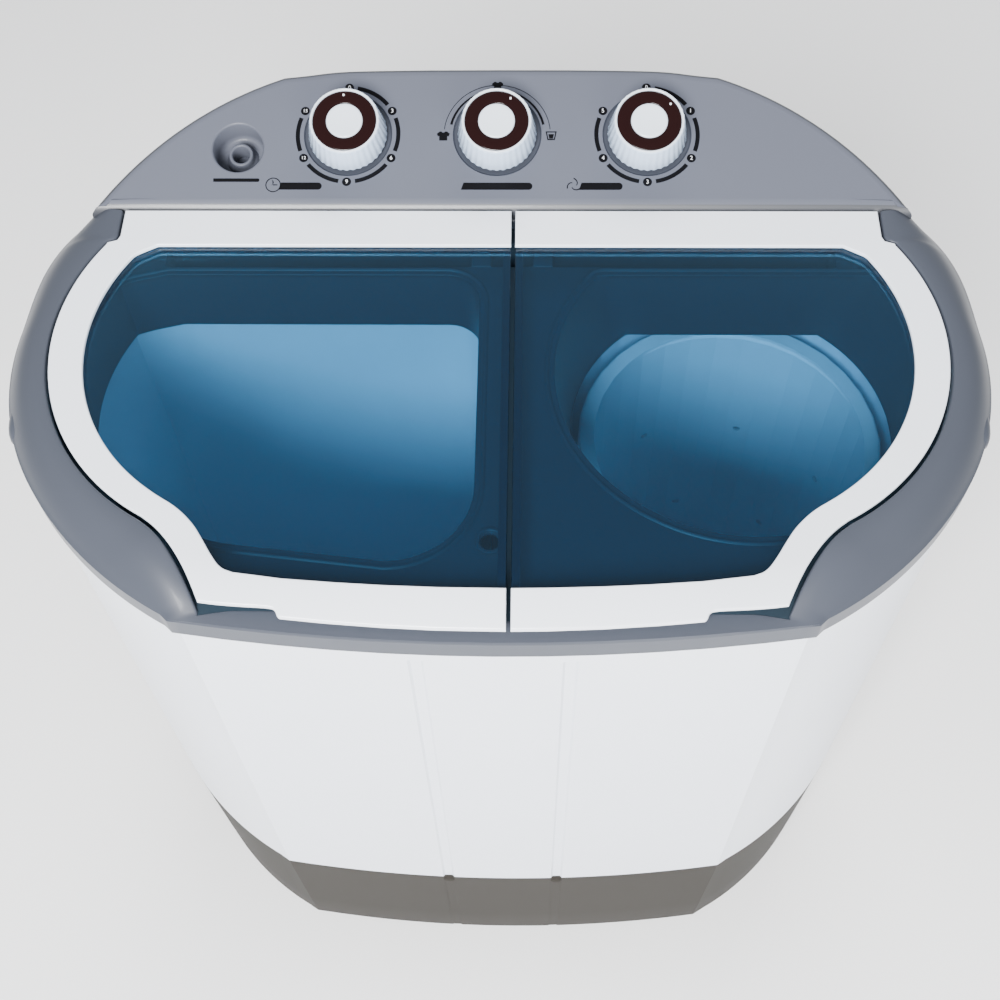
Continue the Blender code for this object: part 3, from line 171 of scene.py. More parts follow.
def tinted(name, through, body_colour, body_share):
    """A clear tinted sheet: light passes with the tint, with a little body colour and a gloss on top."""
    made, tree, shader = new_material(name)
    tree.nodes.remove(shader)
    out = tree.nodes["Material Output"]
    clear = tree.nodes.new("ShaderNodeBsdfTransparent")
    clear.inputs["Color"].default_value = (*through, 1)
    body = tree.nodes.new("ShaderNodeBsdfDiffuse")
    place = tree.nodes.new("ShaderNodeTexCoord")
    broad = tree.nodes.new("ShaderNodeTexNoise")
    broad.inputs["Scale"].default_value = 6.0
    tree.links.new(place.outputs["Object"], broad.inputs["Vector"])
    tone = tree.nodes.new("ShaderNodeMix")
    tone.data_type = "RGBA"
    tone.inputs[6].default_value = (*(c * 0.9 for c in body_colour), 1)
    tone.inputs[7].default_value = (*(c * 1.1 for c in body_colour), 1)
    tree.links.new(broad.outputs["Fac"], tone.inputs[0])
    tree.links.new(tone.outputs[2], body.inputs["Color"])
    inner = tree.nodes.new("ShaderNodeMixShader")
    inner.inputs[0].default_value = body_share
    tree.links.new(clear.outputs[0], inner.inputs[1])
    tree.links.new(body.outputs[0], inner.inputs[2])
    gloss = tree.nodes.new("ShaderNodeBsdfGlossy")
    gloss.inputs["Roughness"].default_value = 0.04
    edge = tree.nodes.new("ShaderNodeFresnel")
    edge.inputs["IOR"].default_value = 1.45
    mixed = tree.nodes.new("ShaderNodeMixShader")
    tree.links.new(edge.outputs[0], mixed.inputs[0])
    tree.links.new(inner.outputs[0], mixed.inputs[1])
    tree.links.new(gloss.outputs[0], mixed.inputs[2])
    ray = tree.nodes.new("ShaderNodeLightPath")
    open_air = tree.nodes.new("ShaderNodeBsdfTransparent")
    open_air.inputs["Color"].default_value = (0.80, 0.90, 0.96, 1)
    final = tree.nodes.new("ShaderNodeMixShader")
    tree.links.new(ray.outputs["Is Shadow Ray"], final.inputs[0])
    tree.links.new(mixed.outputs[0], final.inputs[1])
    tree.links.new(open_air.outputs[0], final.inputs[2])
    tree.links.new(final.outputs[0], out.inputs["Surface"])
    return made


WHITE = plastic("white_plastic_look", (0.78, 0.82, 0.90), 0.34, coat=0.15)
LID_WHITE = plastic("lid_plastic_look", (0.82, 0.86, 0.93), 0.24, coat=0.3)
COLLAR = plastic("collar_plastic_look", (0.052, 0.058, 0.074), 0.36, coat=0.10, gloss=0.20)
DECK = plastic("deck_plastic_look", (0.018, 0.030, 0.042), 0.42, gloss=0.25)
PANEL = plastic("console_plastic_look", (0.092, 0.099, 0.125), 0.45, coat=0.05, gloss=0.25)
# painted shade: the panel plastic made darker for the panel's outer wall and rounded edge, where they turn away from
# the light
PAINTED_SHADE_PANEL_EDGE = plastic("console_edge_painted_shade_look", (0.050, 0.053, 0.062), 0.40, coat=0.15)
# painted shade: the panel plastic made darker for the shallow recess round each knob
PAINTED_SHADE_RECESS = plastic("console_recess_painted_shade_look", (0.040, 0.045, 0.060), 0.45)
BASE = plastic("base_plastic_look", (0.030, 0.027, 0.023), 0.55, mottle=0.05, gloss=0.05)
TINT = tinted("window_look", (0.34, 0.60, 0.76), (0.004, 0.025, 0.05), 0.12)
# painted shade: a near-black sheet under the window panes, darkening the lids' seam and the window's rear edge
PAINTED_SHADE_BAND = plastic("window_band_painted_shade_look", (0.003, 0.010, 0.020), 0.25)
KNOB = plastic("knob_plastic_look", (0.72, 0.79, 0.88), 0.16, coat=0.5, grain=0.0)
KNOB_SIDE = plastic("knob_side_look", (0.56, 0.68, 0.86), 0.14, coat=0.6, grain=0.0)
MAROON = plastic("knob_ring_look", (0.0100, 0.0022, 0.0022), 0.20, coat=0.05, grain=0.0, gloss=0.2)
INK = plastic("ink_look", (0.0015, 0.0015, 0.0025), 0.50, grain=0.0, gloss=0.15)
PRINT_WHITE = plastic("white_ink_look", (0.70, 0.71, 0.74), 0.55, grain=0.0)
TUB = plastic("tub_plastic_look", (0.78, 0.84, 0.90), 0.33)
PULSATOR = plastic("pulsator_look", (0.40, 0.58, 0.74), 0.35)
STEEL = plastic("steel_look", (0.52, 0.53, 0.54), 0.30, metallic=1.0, mottle=0.06)
MOTOR = plastic("motor_look", (0.26, 0.27, 0.29), 0.42, metallic=0.8, mottle=0.08)
ALUMINIUM = plastic("aluminium_look", (0.62, 0.63, 0.64), 0.40, metallic=1.0, mottle=0.06)
RUBBER = plastic("rubber_look", (0.022, 0.022, 0.022), 0.80, grain=0.15, scale=500.0)
HOSE = plastic("hose_look", (0.38, 0.39, 0.41), 0.48)
BLACK = plastic("black_plastic_look", (0.02, 0.02, 0.024), 0.45)
HINGE_BLUE = plastic("hinge_clip_look", (0.62, 0.76, 0.86), 0.30)

SLOT_LOOKS = {
    "white_plastic": WHITE, "lid_plastic": LID_WHITE, "collar_plastic": COLLAR, "console_plastic": PANEL,
    "base_plastic": BASE, "tinted_window": TINT, "knob_plastic": KNOB, "knob_ring": MAROON, "tub_plastic": TUB,
    "pulsator_plastic": PULSATOR, "steel": STEEL, "motor_steel": MOTOR, "aluminium": ALUMINIUM, "rubber": RUBBER,
    "hose_plastic": HOSE, "black_plastic": BLACK,
}
node_slots = {part["node"]: part["material_slot"] for part in frame["record"]["subparts"]}
for node_name, node in frame["nodes"].items():
    node.data.materials.clear()
    node.data.materials.append(SLOT_LOOKS[node_slots[node_name]])


# ---------------------------------------------------------------- making pieces
def put(bm, name, look, body, stands_for=(), sharp=35.0, weighted=False):
    """A new piece on a CAD body. It takes the given look, and can stand for CAD nodes."""
    made = bpy.data.objects.new(name, mesh_of(bm, name))
    bpy.context.scene.collection.objects.link(made)
    if look is not None:
        made.data.materials.append(look)
    made.data.shade_smooth()
    made.data.set_sharp_from_angle(angle=math.radians(sharp))
    if weighted:
        normals = made.modifiers.new("flat_faces", "WEIGHTED_NORMAL")
        normals.keep_sharp = True
    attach(made, body)
    if stands_for:
        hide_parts(*stands_for)
    return made


def mesh_of(bm, name):
    bmesh.ops.recalc_face_normals(bm, faces=bm.faces)
    mesh = bpy.data.meshes.new(name)
    bm.to_mesh(mesh)
    bm.free()
    return mesh


def skin(rings, caps=(False, False), closed_rows=False, material_of=None):
    """A bmesh skin through rings of (x, y, z). material_of(row) picks a material slot for a row."""
    bm = bmesh.new()
    loops = [[bm.verts.new(p) for p in ring] for ring in rings]
    count = len(rings[0])
    pairs = list(zip(loops, loops[1:]))
    if closed_rows:
        pairs.append((loops[-1], loops[0]))
    for row, (low, high) in enumerate(pairs):
        for i in range(count):
            j = (i + 1) % count
            face = bm.faces.new((low[i], low[j], high[j], high[i]))
            if material_of:
                face.material_index = material_of(row)
    if caps[0]:
        bm.faces.new(list(reversed(loops[0])))
    if caps[1]:
        bm.faces.new(loops[-1])
    return bm


def arc(cx, cy, radius, start, end, steps):
    """Points on an arc, in degrees, ends included."""
    angles = [math.radians(start + (end - start) * i / steps) for i in range(steps + 1)]
    return [(cx + radius * math.cos(a), cy + radius * math.sin(a)) for a in angles]


def circle(cx, cy, radius, steps=48):
    return arc(cx, cy, radius, 0, 360 * (steps - 1) / steps, steps - 1)


def mirrored(points):
    return [(-x, y) for x, y in reversed(points)]


def at_height(outline, z):
    return [(x, y, z) for x, y in outline]


def turned_rings(profile, steps, wave=None):
    """Rings round the Z axis for a profile of (radius, height). wave(angle, k) gives a small (dr, dz)."""
    rings = []
    for k, (r, z) in enumerate(profile):
        ring = []
        for i in range(steps):
            a = 2 * math.pi * i / steps
            dr, dz = wave(a, k) if wave else (0.0, 0.0)
            ring.append(((r + dr) * math.cos(a), (r + dr) * math.sin(a), z + dz))
        rings.append(ring)
    return rings


def place_mesh(bm, place, tilt=0.0):
    turn = Matrix.Translation(Vector(place)) @ Matrix.Rotation(tilt, 4, "X")
    bmesh.ops.transform(bm, matrix=turn, verts=bm.verts)
    return bm


def flat_fill(outlines, low, high, bevel=0.0):
    """Closed outlines filled (inner ones are holes), made thick from low to high, edges rounded by bevel."""
    curve = bpy.data.curves.new("fill", "CURVE")
    curve.dimensions = "2D"
    curve.fill_mode = "BOTH"
    curve.extrude = (high - low) / 2 - bevel
    curve.bevel_depth = bevel
    curve.bevel_resolution = 3
    curve.offset = -bevel
    for outline in outlines:
        spline = curve.splines.new("POLY")
        spline.points.add(len(outline) - 1)
        for point, (x, y) in zip(spline.points, outline):
            point.co = (x, y, 0, 1)
        spline.use_cyclic_u = True
    holder = bpy.data.objects.new("fill", curve)
    bpy.context.scene.collection.objects.link(holder)
    graph = bpy.context.evaluated_depsgraph_get()
    mesh = bpy.data.meshes.new_from_object(holder.evaluated_get(graph))
    bpy.data.objects.remove(holder)
    bpy.data.curves.remove(curve)
    bm = bmesh.new()
    bm.from_mesh(mesh)
    bpy.data.meshes.remove(mesh)
    bmesh.ops.remove_doubles(bm, verts=bm.verts, dist=2e-6)
    bmesh.ops.translate(bm, verts=bm.verts, vec=(0, 0, (low + high) / 2))
    return bm


def merged(parts):
    """Several bmeshes as one."""
    whole = bmesh.new()
    for part in parts:
        mesh = bpy.data.meshes.new("part")
        part.to_mesh(mesh)
        part.free()
        whole.from_mesh(mesh)
        bpy.data.meshes.remove(mesh)
    return whole


# ---------------------------------------------------------------- plan outlines
def shoulder_start(grow):
    """Angle at which the front shoulder arc starts, beside the front crease."""
    radius = LOBE_R + SHOULDER_EXTRA + grow
    centre_x = LOBE_X - SHOULDER_EXTRA * math.cos(SHOULDER_ANGLE)
    return -math.degrees(math.acos((STEP_X - centre_x) / radius))


def back_join(grow):
    """Angle at which the rear shoulder arc meets the nearly flat back."""
    radius = LOBE_R + SHOULDER_EXTRA + grow
    cx = LOBE_X - SHOULDER_EXTRA * math.cos(SHOULDER_ANGLE)
    cy = -SHOULDER_EXTRA * math.sin(SHOULDER_ANGLE)
    low, high = 32.0, 89.0
    for _ in range(40):
        middle = math.radians((low + high) / 2)
        x = cx + radius * math.cos(middle)
        y = cy + radius * math.sin(middle)
        if y < BACK_Y + grow - x * x / (2 * BACK_R):
            low = (low + high) / 2
        else:
            high = (low + high) / 2
    return low


def front_y(x, grow):
    return -(FRONT_Y + grow) + x * x / (2 * FRONT_R)


def groove(x):
    """How far the front is set in at x, for the two soft vertical grooves."""
    t = abs((abs(x) - GROOVE_X) / (GROOVE_W / 2))
    return GROOVE_DEPTH * min(1.0, max(0.0, (1 - t) / 0.34))


def body_outline(grow=0.0, groove_share=0.0):
    """The machine's plan, anticlockwise from the middle of the front. grow moves it outwards."""
    cx = LOBE_X - SHOULDER_EXTRA * math.cos(SHOULDER_ANGLE)
    cy = SHOULDER_EXTRA * math.sin(SHOULDER_ANGLE)
    big = LOBE_R + SHOULDER_EXTRA + grow
    crease = CREASE_X + grow / 2
    xs = [0.010, 0.020, 0.030, 0.037]
    xs += [GROOVE_X + GROOVE_W * (i / 12 - 0.5) for i in range(13)]
    xs += [0.051, 0.060, 0.075, 0.090, 0.105, 0.120, 0.135, 0.150, 0.162, 0.171, crease - 0.0015]
    half = [(x, front_y(x, grow) + groove_share * groove(x)) for x in xs]
    half += arc(cx, cy, big, shoulder_start(grow), -32, 24)
    half += arc(LOBE_X, 0, LOBE_R + grow, -32, 32, 36)[1:]
    half += arc(cx, -cy, big, 32, back_join(grow), 24)[1:]
    half += [(x, BACK_Y + grow - x * x / (2 * BACK_R)) for x in (0.110, 0.090, 0.070, 0.045, 0.020)]
    return [(0.0, front_y(0, grow)), *half, (0.0, BACK_Y + grow), *mirrored(half)]


def moved_out(outline, distance):
    """An anticlockwise outline moved outwards (or inwards, if negative) along its own normals."""
    found = []
    count = len(outline)
    for i in range(count):
        before = Vector(outline[i]) - Vector(outline[i - 1])
        after = Vector(outline[(i + 1) % count]) - Vector(outline[i])
        n1 = Vector((before.y, -before.x)).normalized()
        n2 = Vector((after.y, -after.x)).normalized()
        normal = (n1 + n2).normalized()
        stretch = min(2.0, 1 / max(0.3, normal.dot(n1)))
        found.append((outline[i][0] + normal.x * distance * stretch, outline[i][1] + normal.y * distance * stretch))
    return found


def resampled(points, steps):
    """The same line with evenly spaced points."""
    lengths = [0.0]
    for a, b in zip(points, points[1:]):
        lengths.append(lengths[-1] + math.dist(a, b))
    found = []
    for k in range(steps + 1):
        want = lengths[-1] * k / steps
        i = max(j for j in range(len(points) - 1) if lengths[j] <= want + 1e-12)
        t = (want - lengths[i]) / (lengths[i + 1] - lengths[i])
        found.append(tuple(a + (b - a) * t for a, b in zip(points[i], points[i + 1])))
    return found


def smooth(points, rounds=2):
    """An open line with its corners cut, keeping its ends."""
    for _ in range(rounds):
        cut = [points[0]]
        for a, b in zip(points, points[1:]):
            cut.append(tuple(p + (q - p) * 0.25 for p, q in zip(a, b)))
            cut.append(tuple(p + (q - p) * 0.75 for p, q in zip(a, b)))
        cut.append(points[-1])
        points = cut
    return points


LID_FRONT_Y = 0.1893
LID_CORNER = (0.1600, -0.1757)
LID_S_CURVE = [LID_CORNER, (0.1655, -0.1640), (0.1722, -0.1520), (0.1806, -0.1400), (0.1893, -0.1306)]
WINDOW_S_CURVE = [
    (0.1420, -0.1595), (0.1490, -0.1570), (0.1550, -0.1490), (0.1610, -0.1390), (0.1675, -0.1290),
    (0.1780, -0.1185), (0.1900, -0.1110),
]


def lid_front_y(x):
    return -LID_FRONT_Y + x * x / (2 * FRONT_R)


def lid_side():
    """The right lid's edge from its front corner, round the side, to its rear corner."""
    side = arc(LOBE_X, 0, LID_R, -60.5, 31.5, 44)
    rear = [(0.2485, 0.0765), (0.2425, 0.0785), (0.2410, 0.0820), (0.2410, LID_REAR_Y)]
    return [*smooth([*LID_S_CURVE, side[0]])[:-1], *side, *rear]


def lid_edge(middle_x):
    """The right lid's whole outer edge, from its middle front to its middle rear."""
    front = [(x, lid_front_y(x)) for x in (middle_x, 0.030, 0.060, 0.090, 0.1130)]
    step = smooth([
        (0.1130, lid_front_y(0.1130)), (0.1160, lid_front_y(0.1160)), (0.1175, lid_front_y(0.1175) + 0.0040),
        (0.1210, lid_front_y(0.1210) + 0.0048), (0.1370, -0.1778), (0.1510, -0.1768), LID_CORNER,
    ])
    return [*front, *step[1:-1], *lid_side(), (middle_x, LID_REAR_Y)]


def lid_rim_edge(middle_x, hinge_xs):
    """The outer edge of the rib under a lid, with a notch for each hinge."""
    inset = moved_out([*lid_edge(middle_x), (middle_x, 0.0)], -RIM_INSET)[:-1]
    inset[0] = (middle_x, inset[0][1])
    found = [*inset[:-2], (inset[-2][0], LID_REAR_Y)]
    for x in sorted(hinge_xs, reverse=True):
        found += [(x + NOTCH_HALF, LID_REAR_Y), (x + NOTCH_HALF, NOTCH_Y), (x - NOTCH_HALF, NOTCH_Y),
                  (x - NOTCH_HALF, LID_REAR_Y)]
    return [*found, (middle_x, LID_REAR_Y)]


def window_edge(middle_x, grow=0.0):
    """The right window's edge, from its middle front to its middle rear."""
    front = [(x, -0.1675 - grow + 0.0025 * (x / 0.085) ** 2) for x in (middle_x, 0.030, 0.060, 0.085, 0.115)]
    corner = [(x + grow * 0.8, y - grow * 0.7) for x, y in WINDOW_S_CURVE]
    side = arc(0.1196, -0.002, 0.1296 + grow, -54, 32, 36)
    rear = [(0.2240 + grow * 0.7, 0.0700 + grow * 0.4), (0.2160, 0.0745 + grow)]
    return [*front, *smooth([*corner, side[0]])[:-1], *smooth([*side, *rear], 1), (middle_x, 0.0745 + grow)]


def wash_outline(grow=0.0):
    """The wash opening: a big round end on the left, a straight back and a rounded front corner."""
    left = arc(-LOBE_X, -0.004, 0.130 + grow, 152, 258, 40)
    front = arc(-0.062, -0.092, 0.050 + grow, 270, 360, 20)
    rear = arc(-0.034, 0.044, 0.022 + grow, 0, 90, 12)
    far = [(-0.212, 0.066 + grow), (-0.231 - grow * 0.7, 0.0610 + grow * 0.7)]
    return [*left, *front, *rear, *far]


def round_flat(radius, flat_y, steps=96):
    """A circle about the spin axis, cut straight at the back."""
    points = []
    for i in range(steps):
        a = 2 * math.pi * i / steps
        points.append((SPIN_X + radius * math.cos(a), min(SPIN_Y + radius * math.sin(a), flat_y)))
    return points


# ---------------------------------------------------------------- cabinet and base
def build_walls():
    cabinet_low = BASE_TOP_Z + GAP
    cabinet_top = COLLAR_LOW_Z + 0.008
    rings = []
    for z, out, deep in (
        (cabinet_top, -WALL, 0), (cabinet_low, -WALL, 0), (cabinet_low, -0.0008, 1), (cabinet_low + 0.0008, 0, 1),
        (cabinet_low + 0.05, 0, 1), (0.35, 0, 1), (0.48, 0, 1), (GROOVE_TOP_Z - 0.0040, 0, 1),
        (GROOVE_TOP_Z - 0.0015, 0, 0.85), (GROOVE_TOP_Z, 0, 0), (COLLAR_LOW_Z, 0, 0), (cabinet_top, 0, 0),
    ):
        rings.append(at_height(body_outline(out, deep), z))
    put(skin(rings, closed_rows=True), "cabinet_walls", WHITE, "machine",
        ["cabinet"], sharp=16)
    rings = []
    for z, out in (
        (BASE_TOP_Z, -0.003), (BASE_LOW_Z + 0.003, -0.003 - BASE_DRAFT), (BASE_LOW_Z + 0.003, -0.012),
    ):
        rings.append(at_height(body_outline(out), z))
    inner = skin(rings, caps=(False, True))
    rings = []
    for z, out, deep in (
        (BASE_LOW_Z, -0.012, 0), (BASE_LOW_Z, -0.0050 - BASE_DRAFT, 0),
        (BASE_LOW_Z + 0.0010, -0.0022 - BASE_DRAFT, 0.1),
        (BASE_LOW_Z + 0.0025, -0.0008 - BASE_DRAFT, 0.3), (BASE_LOW_Z + 0.0060, -BASE_DRAFT, 0.3),
        (0.06, -BASE_DRAFT * 0.68, 0.3), (0.12, -BASE_DRAFT * 0.33, 0.3),
        (BASE_TOP_Z - 0.0008, 0, 0.3), (BASE_TOP_Z, -0.0008, 0.3), (BASE_TOP_Z, -0.003, 0),
    ):
        rings.append(at_height(body_outline(out, deep), z))
    outer = skin(rings, caps=(True, False))
    parts = [inner, outer]
    for x in (-GROOVE_X, GROOVE_X):
        bump = skin(turned_rings([(0.0001, 0.0052), (0.0022, 0.0048), (0.0040, 0.0033), (0.0048, 0.0015),
                                  (0.0050, 0.0)], 32))
        bmesh.ops.scale(bump, verts=bump.verts, vec=(1, 0.55, 1))
        place_mesh(bump, (x, front_y(x, 0) + 0.0008, BASE_TOP_Z - 0.0060))
        parts.append(bump)
    put(merged(parts), "base_walls", BASE, "machine", ["base"], sharp=16)


# ---------------------------------------------------------------- collar and deck
COLLAR_STEPS = 5
FRONT_STEPS = 5 * COLLAR_STEPS
RISE_STEPS = 5 * COLLAR_STEPS
SHOULDER_STEPS = 6 * COLLAR_STEPS
SIDE_STEPS = 18 * COLLAR_STEPS
BACK_STEPS = 12 * COLLAR_STEPS


def swelled(point):
    """The collar bulges out behind the middle of its sides, most beside the control panel's ends."""
    x, y = point
    rise = min(1.0, max(0.0, (y - 0.018) / 0.075))
    fall = min(1.0, max(0.0, (0.178 - y) / 0.070))
    out = SWELL * rise * rise * (3 - 2 * rise) * fall * fall * (3 - 2 * fall)
    reach = math.hypot(abs(x) - LOBE_X, y)
    return (x + out * (x - math.copysign(LOBE_X, x)) / reach, y + out * y / reach)


def collar_lines():
    """The collar's outer line, its inner line along the lids, and its height at each point."""
    cx = LOBE_X - SHOULDER_EXTRA * math.cos(SHOULDER_ANGLE)
    cy = SHOULDER_EXTRA * math.sin(SHOULDER_ANGLE)
    big = LOBE_R + SHOULDER_EXTRA + COLLAR_GROW
    seat_y = CONSOLE_FRONT_Y - 0.0004
    gap_front = [(x, lid_front_y(x) + LEDGE_REACH) for x in (0.0, 0.030, 0.060, 0.090, 0.115)]
    gap_front += [(0.1450, -0.1740), (0.1622, -0.1775)]
    gap_side = moved_out([(0.10, -0.17), *lid_side(), (0.0, LID_REAR_Y)], LID_GAP)[1:-1]
    curve_end = len(smooth([*LID_S_CURVE, (0, 0)])) - 2
    end_angle = math.degrees(math.asin((seat_y - 0.0008 + cy) / big))
    outer_front = [(x, front_y(x, COLLAR_GROW)) for x in (0.0, 0.03, 0.06, 0.09, 0.12, 0.15, CREASE_X + 0.0016)]
    shoulder = arc(cx, cy, big, shoulder_start(COLLAR_GROW), -48, 24)
    lobe = [
        *arc(cx, cy, big, -48, -32, 20), *arc(LOBE_X, 0, LOBE_R + COLLAR_GROW, -32, 32, 80)[1:],
        *arc(cx, -cy, big, 32, end_angle, 8)[1:],
    ]
    back_start = math.degrees(math.asin((seat_y + cy) / big))
    back = arc(cx, -cy, big, back_start, back_join(COLLAR_GROW), 40)
    back += [(x, BACK_Y + COLLAR_GROW - x * x / (2 * BACK_R)) for x in (0.090, 0.060, 0.030, 0.0)]
    gap_side[-1] = (gap_side[-1][0], seat_y - 0.0008)
    lobe = [swelled(p) for p in lobe]
    back = [swelled(p) for p in back]
    outer = [
        *resampled(outer_front, FRONT_STEPS), *resampled([outer_front[-1], *shoulder], SHOULDER_STEPS)[1:],
        *resampled(lobe, SIDE_STEPS)[1:], *resampled(back, BACK_STEPS),
    ]
    inner = [
        *resampled(gap_front, FRONT_STEPS),
        *resampled([gap_front[-1], *gap_side[1:curve_end + 1]], SHOULDER_STEPS)[1:],
        *resampled(gap_side[curve_end:], SIDE_STEPS)[1:], *resampled([(0.2435, seat_y), (0.0, seat_y)], BACK_STEPS),
    ]
    tops = []
    for i in range(len(outer)):
        if i >= len(outer) - BACK_STEPS - 1:
            tops.append(CONSOLE_LOW_Z - GAP)
        elif i <= FRONT_STEPS:
            tops.append(LEDGE_Z)
        else:
            rise = min(1.0, (i - FRONT_STEPS) / RISE_STEPS)
            tops.append(LEDGE_Z + (LID_Z - 0.001 - LEDGE_Z) * math.sin(rise * math.pi / 2))
    return (
        [*outer, *mirrored(outer[1:-1])], [*inner, *mirrored(inner[1:-1])], [*tops, *reversed(tops[1:-1])]
    )


def build_collar():
    outer, inner, tops = collar_lines()

    def ring(share, rise, drop=0.0):
        found = []
        for (ox, oy), (ix, iy), top in zip(outer, inner, tops):
            low = min(LIP_TOP_Z + 0.0006, top - 0.0006)
            found.append((ox + (ix - ox) * share, oy + (iy - oy) * share, low + (top - low) * rise - drop))
        return found

    inside = moved_out(outer, -LIP_T)
    lip_in = moved_out(outer, -0.0006)
    lip_top = [min(LIP_TOP_Z, top - 0.0012) for top in tops]
    rings = [
        at_height(inside, DECK_LOW_Z), at_height(inside, COLLAR_LOW_Z), at_height(lip_in, COLLAR_LOW_Z),
        at_height(outer, COLLAR_LOW_Z + 0.0006),
        [(x, y, z - 0.0006) for (x, y), z in zip(outer, lip_top)],
        [(x, y, z) for (x, y), z in zip(lip_in, lip_top)],
    ]
    for i in range(1, 25):
        t = i / 24
        share = 0.04 + 0.90 * t
        rings.append(ring(share, 1 - (1 - t) ** 2.3))
    rings += [ring(0.97, 1.0, 0.0002), ring(0.99, 1.0, 0.0007), ring(1.0, 1.0, 0.0016), at_height(inner, DECK_Z)]
    put(skin(rings), "collar", COLLAR, "machine", ["top_frame"], sharp=40)

    edge = moved_out(inner, 0.0006)
    trough = [(-0.215, 0.0730), (0.215, 0.0730), (0.215, 0.0920), (-0.215, 0.0920)]
    bay = [(-0.148, 0.1120), (0.148, 0.1120), (0.148, 0.1785), (-0.148, 0.1785)]
    hole = circle(*DECK_HOLE, 0.0055, 32)
    deck = flat_fill([edge, wash_outline(), round_flat(FUNNEL_R, 0.066), trough, bay, hole],
                     DECK_LOW_Z, DECK_Z, 0.0006)
    rings = [at_height(wash_outline(WALL), DECK_LOW_Z), at_height(wash_outline(WALL), SKIRT_LOW_Z),
             at_height(wash_outline(), SKIRT_LOW_Z), at_height(wash_outline(), DECK_Z - 0.0006)]
    skirt = skin(rings, closed_rows=True)
    rings = []
    for radius, flat, z in (
        (FUNNEL_R + WALL, 0.0685, DECK_LOW_Z), (FUNNEL_LOW_R + WALL, 0.0685, FUNNEL_LOW_Z + 0.0055),
        (FUNNEL_LOW_R + WALL, 1.0, FUNNEL_LOW_Z), (FUNNEL_LOW_R, 1.0, FUNNEL_LOW_Z),
        (FUNNEL_LOW_R, 0.066, FUNNEL_LOW_Z + 0.0060), (FUNNEL_R, 0.066, DECK_Z - 0.0006),
    ):
        rings.append(at_height(round_flat(radius, flat), z))
    funnel = skin(rings, closed_rows=True)
    wide = [(-0.218, 0.0706), (0.218, 0.0706), (0.218, 0.0944), (-0.218, 0.0944)]
    channel = skin([at_height(trough, LID_Z - 0.0455), at_height(trough, DECK_Z - 0.001),
                    at_height(wide, DECK_LOW_Z), at_height(wide, LID_Z - 0.048)], caps=(True, True))
    parts = [deck, skirt, funnel, channel]
    for x in BRIDGE_XS:
        bridge = [(x - 0.0062, 0.0726), (x + 0.0062, 0.0726), (x + 0.0062, 0.0924), (x - 0.0062, 0.0924)]
        parts.append(flat_fill([bridge], DECK_LOW_Z, DECK_Z + 0.0010, 0.0006))
    put(merged(parts), "deck", DECK, "machine", sharp=30, weighted=True)

    ledge = []
    for out, z in ((0.0030, -0.0002), (0.0042, 0.0012), (0.0052, 0.0012), (0.0064, -0.0002)):
        line = [(x, y) for x, y in round_flat(FUNNEL_R + out, 0.066 + out)]
        ledge.append(at_height(line, DECK_Z + z))
    bead = [skin(ledge)]
    ledge = []
    for out, z in ((0.0030, -0.0002), (0.0042, 0.0012), (0.0052, 0.0012), (0.0064, -0.0002)):
        ledge.append(at_height(wash_outline(out), DECK_Z + z))
    bead.append(skin(ledge))
    lips = [(0.0085, -0.0002), (0.0085, 0.0010), (0.0072, 0.0016), (0.0062, 0.0010), (0.0060, -0.0002)]
    bead.append(place_mesh(skin(turned_rings(lips, 40)), (*DECK_HOLE, DECK_Z)))
    put(merged(bead), "deck_beads", DECK, "machine", sharp=60)

    clips = []
    for x in HINGE_XS:
        clip = flat_fill([[(x - 0.0034, HINGE_Y - 0.0042), (x + 0.0034, HINGE_Y - 0.0042),
                           (x + 0.0034, HINGE_Y + 0.0002), (x - 0.0034, HINGE_Y + 0.0002)]],
                         DECK_Z - 0.001, HINGE_Z - 0.0018, 0.0006)
        clips.append(clip)
    put(merged(clips), "hinge_clips", HINGE_BLUE, "machine")

    grips = []
    for side in (-1, 1):
        rings = []
        for i in range(25):
            t = -1 + 2 * i / 24
            r = GRIP_R * (1 - abs(t) ** 6) ** 0.5 + 0.0001
            ring_points = [
                (side * GRIP_X + r * math.cos(a), GRIP_Y + GRIP_HALF * t, GRIP_Z + r * math.sin(a))
                for a in (2 * math.pi * k / 32 for k in range(32))
            ]
            rings.append(ring_points)
        grips.append(skin(rings, caps=(True, True)))
    put(merged(grips), "side_grips", COLLAR, "machine", sharp=50)


# ---------------------------------------------------------------- control panel
PANEL_TURN = Matrix.Translation((0, CONSOLE_FRONT_Y, LID_Z - 0.001)) @ Matrix.Rotation(CONSOLE_TILT, 4, "X")


def panel_z(y):
    return LID_Z - 0.001 + (y - CONSOLE_FRONT_Y) * math.tan(CONSOLE_TILT)


def on_panel(x, y):
    """Plan (x, y) as the panel's own two coordinates."""
    return (x, (y - CONSOLE_FRONT_Y) / math.cos(CONSOLE_TILT))


def panel_place(x, y, above=0.0):
    return Vector((x, y - above * math.sin(CONSOLE_TILT), panel_z(y) + above * math.cos(CONSOLE_TILT)))


def panel_outline():
    """The panel's plan: the collar's shoulders carried on to a nearly straight back with rounded corners."""
    cx = LOBE_X - SHOULDER_EXTRA * math.cos(SHOULDER_ANGLE)
    cy = -SHOULDER_EXTRA * math.sin(SHOULDER_ANGLE)
    big = LOBE_R + SHOULDER_EXTRA + COLLAR_GROW + 0.0006
    start = math.degrees(math.asin((CONSOLE_FRONT_Y - cy) / big))
    back = BACK_Y + COLLAR_GROW + PANEL_OUT
    turn_in = [(0.1265, back - 0.0038), (0.1100, back - 0.0015), (0.0900, back - 0.0006), (0.0450, back - 0.0001)]
    shoulder = arc(cx, cy, big, start, 72, 60)
    half = [*shoulder[:-1], *smooth([shoulder[-1], *turn_in])]
    front = [(0.22 * (i - 8) / 8, CONSOLE_FRONT_Y) for i in range(17)]
    return [*front, *half, (0.0, back), *mirrored(half)]


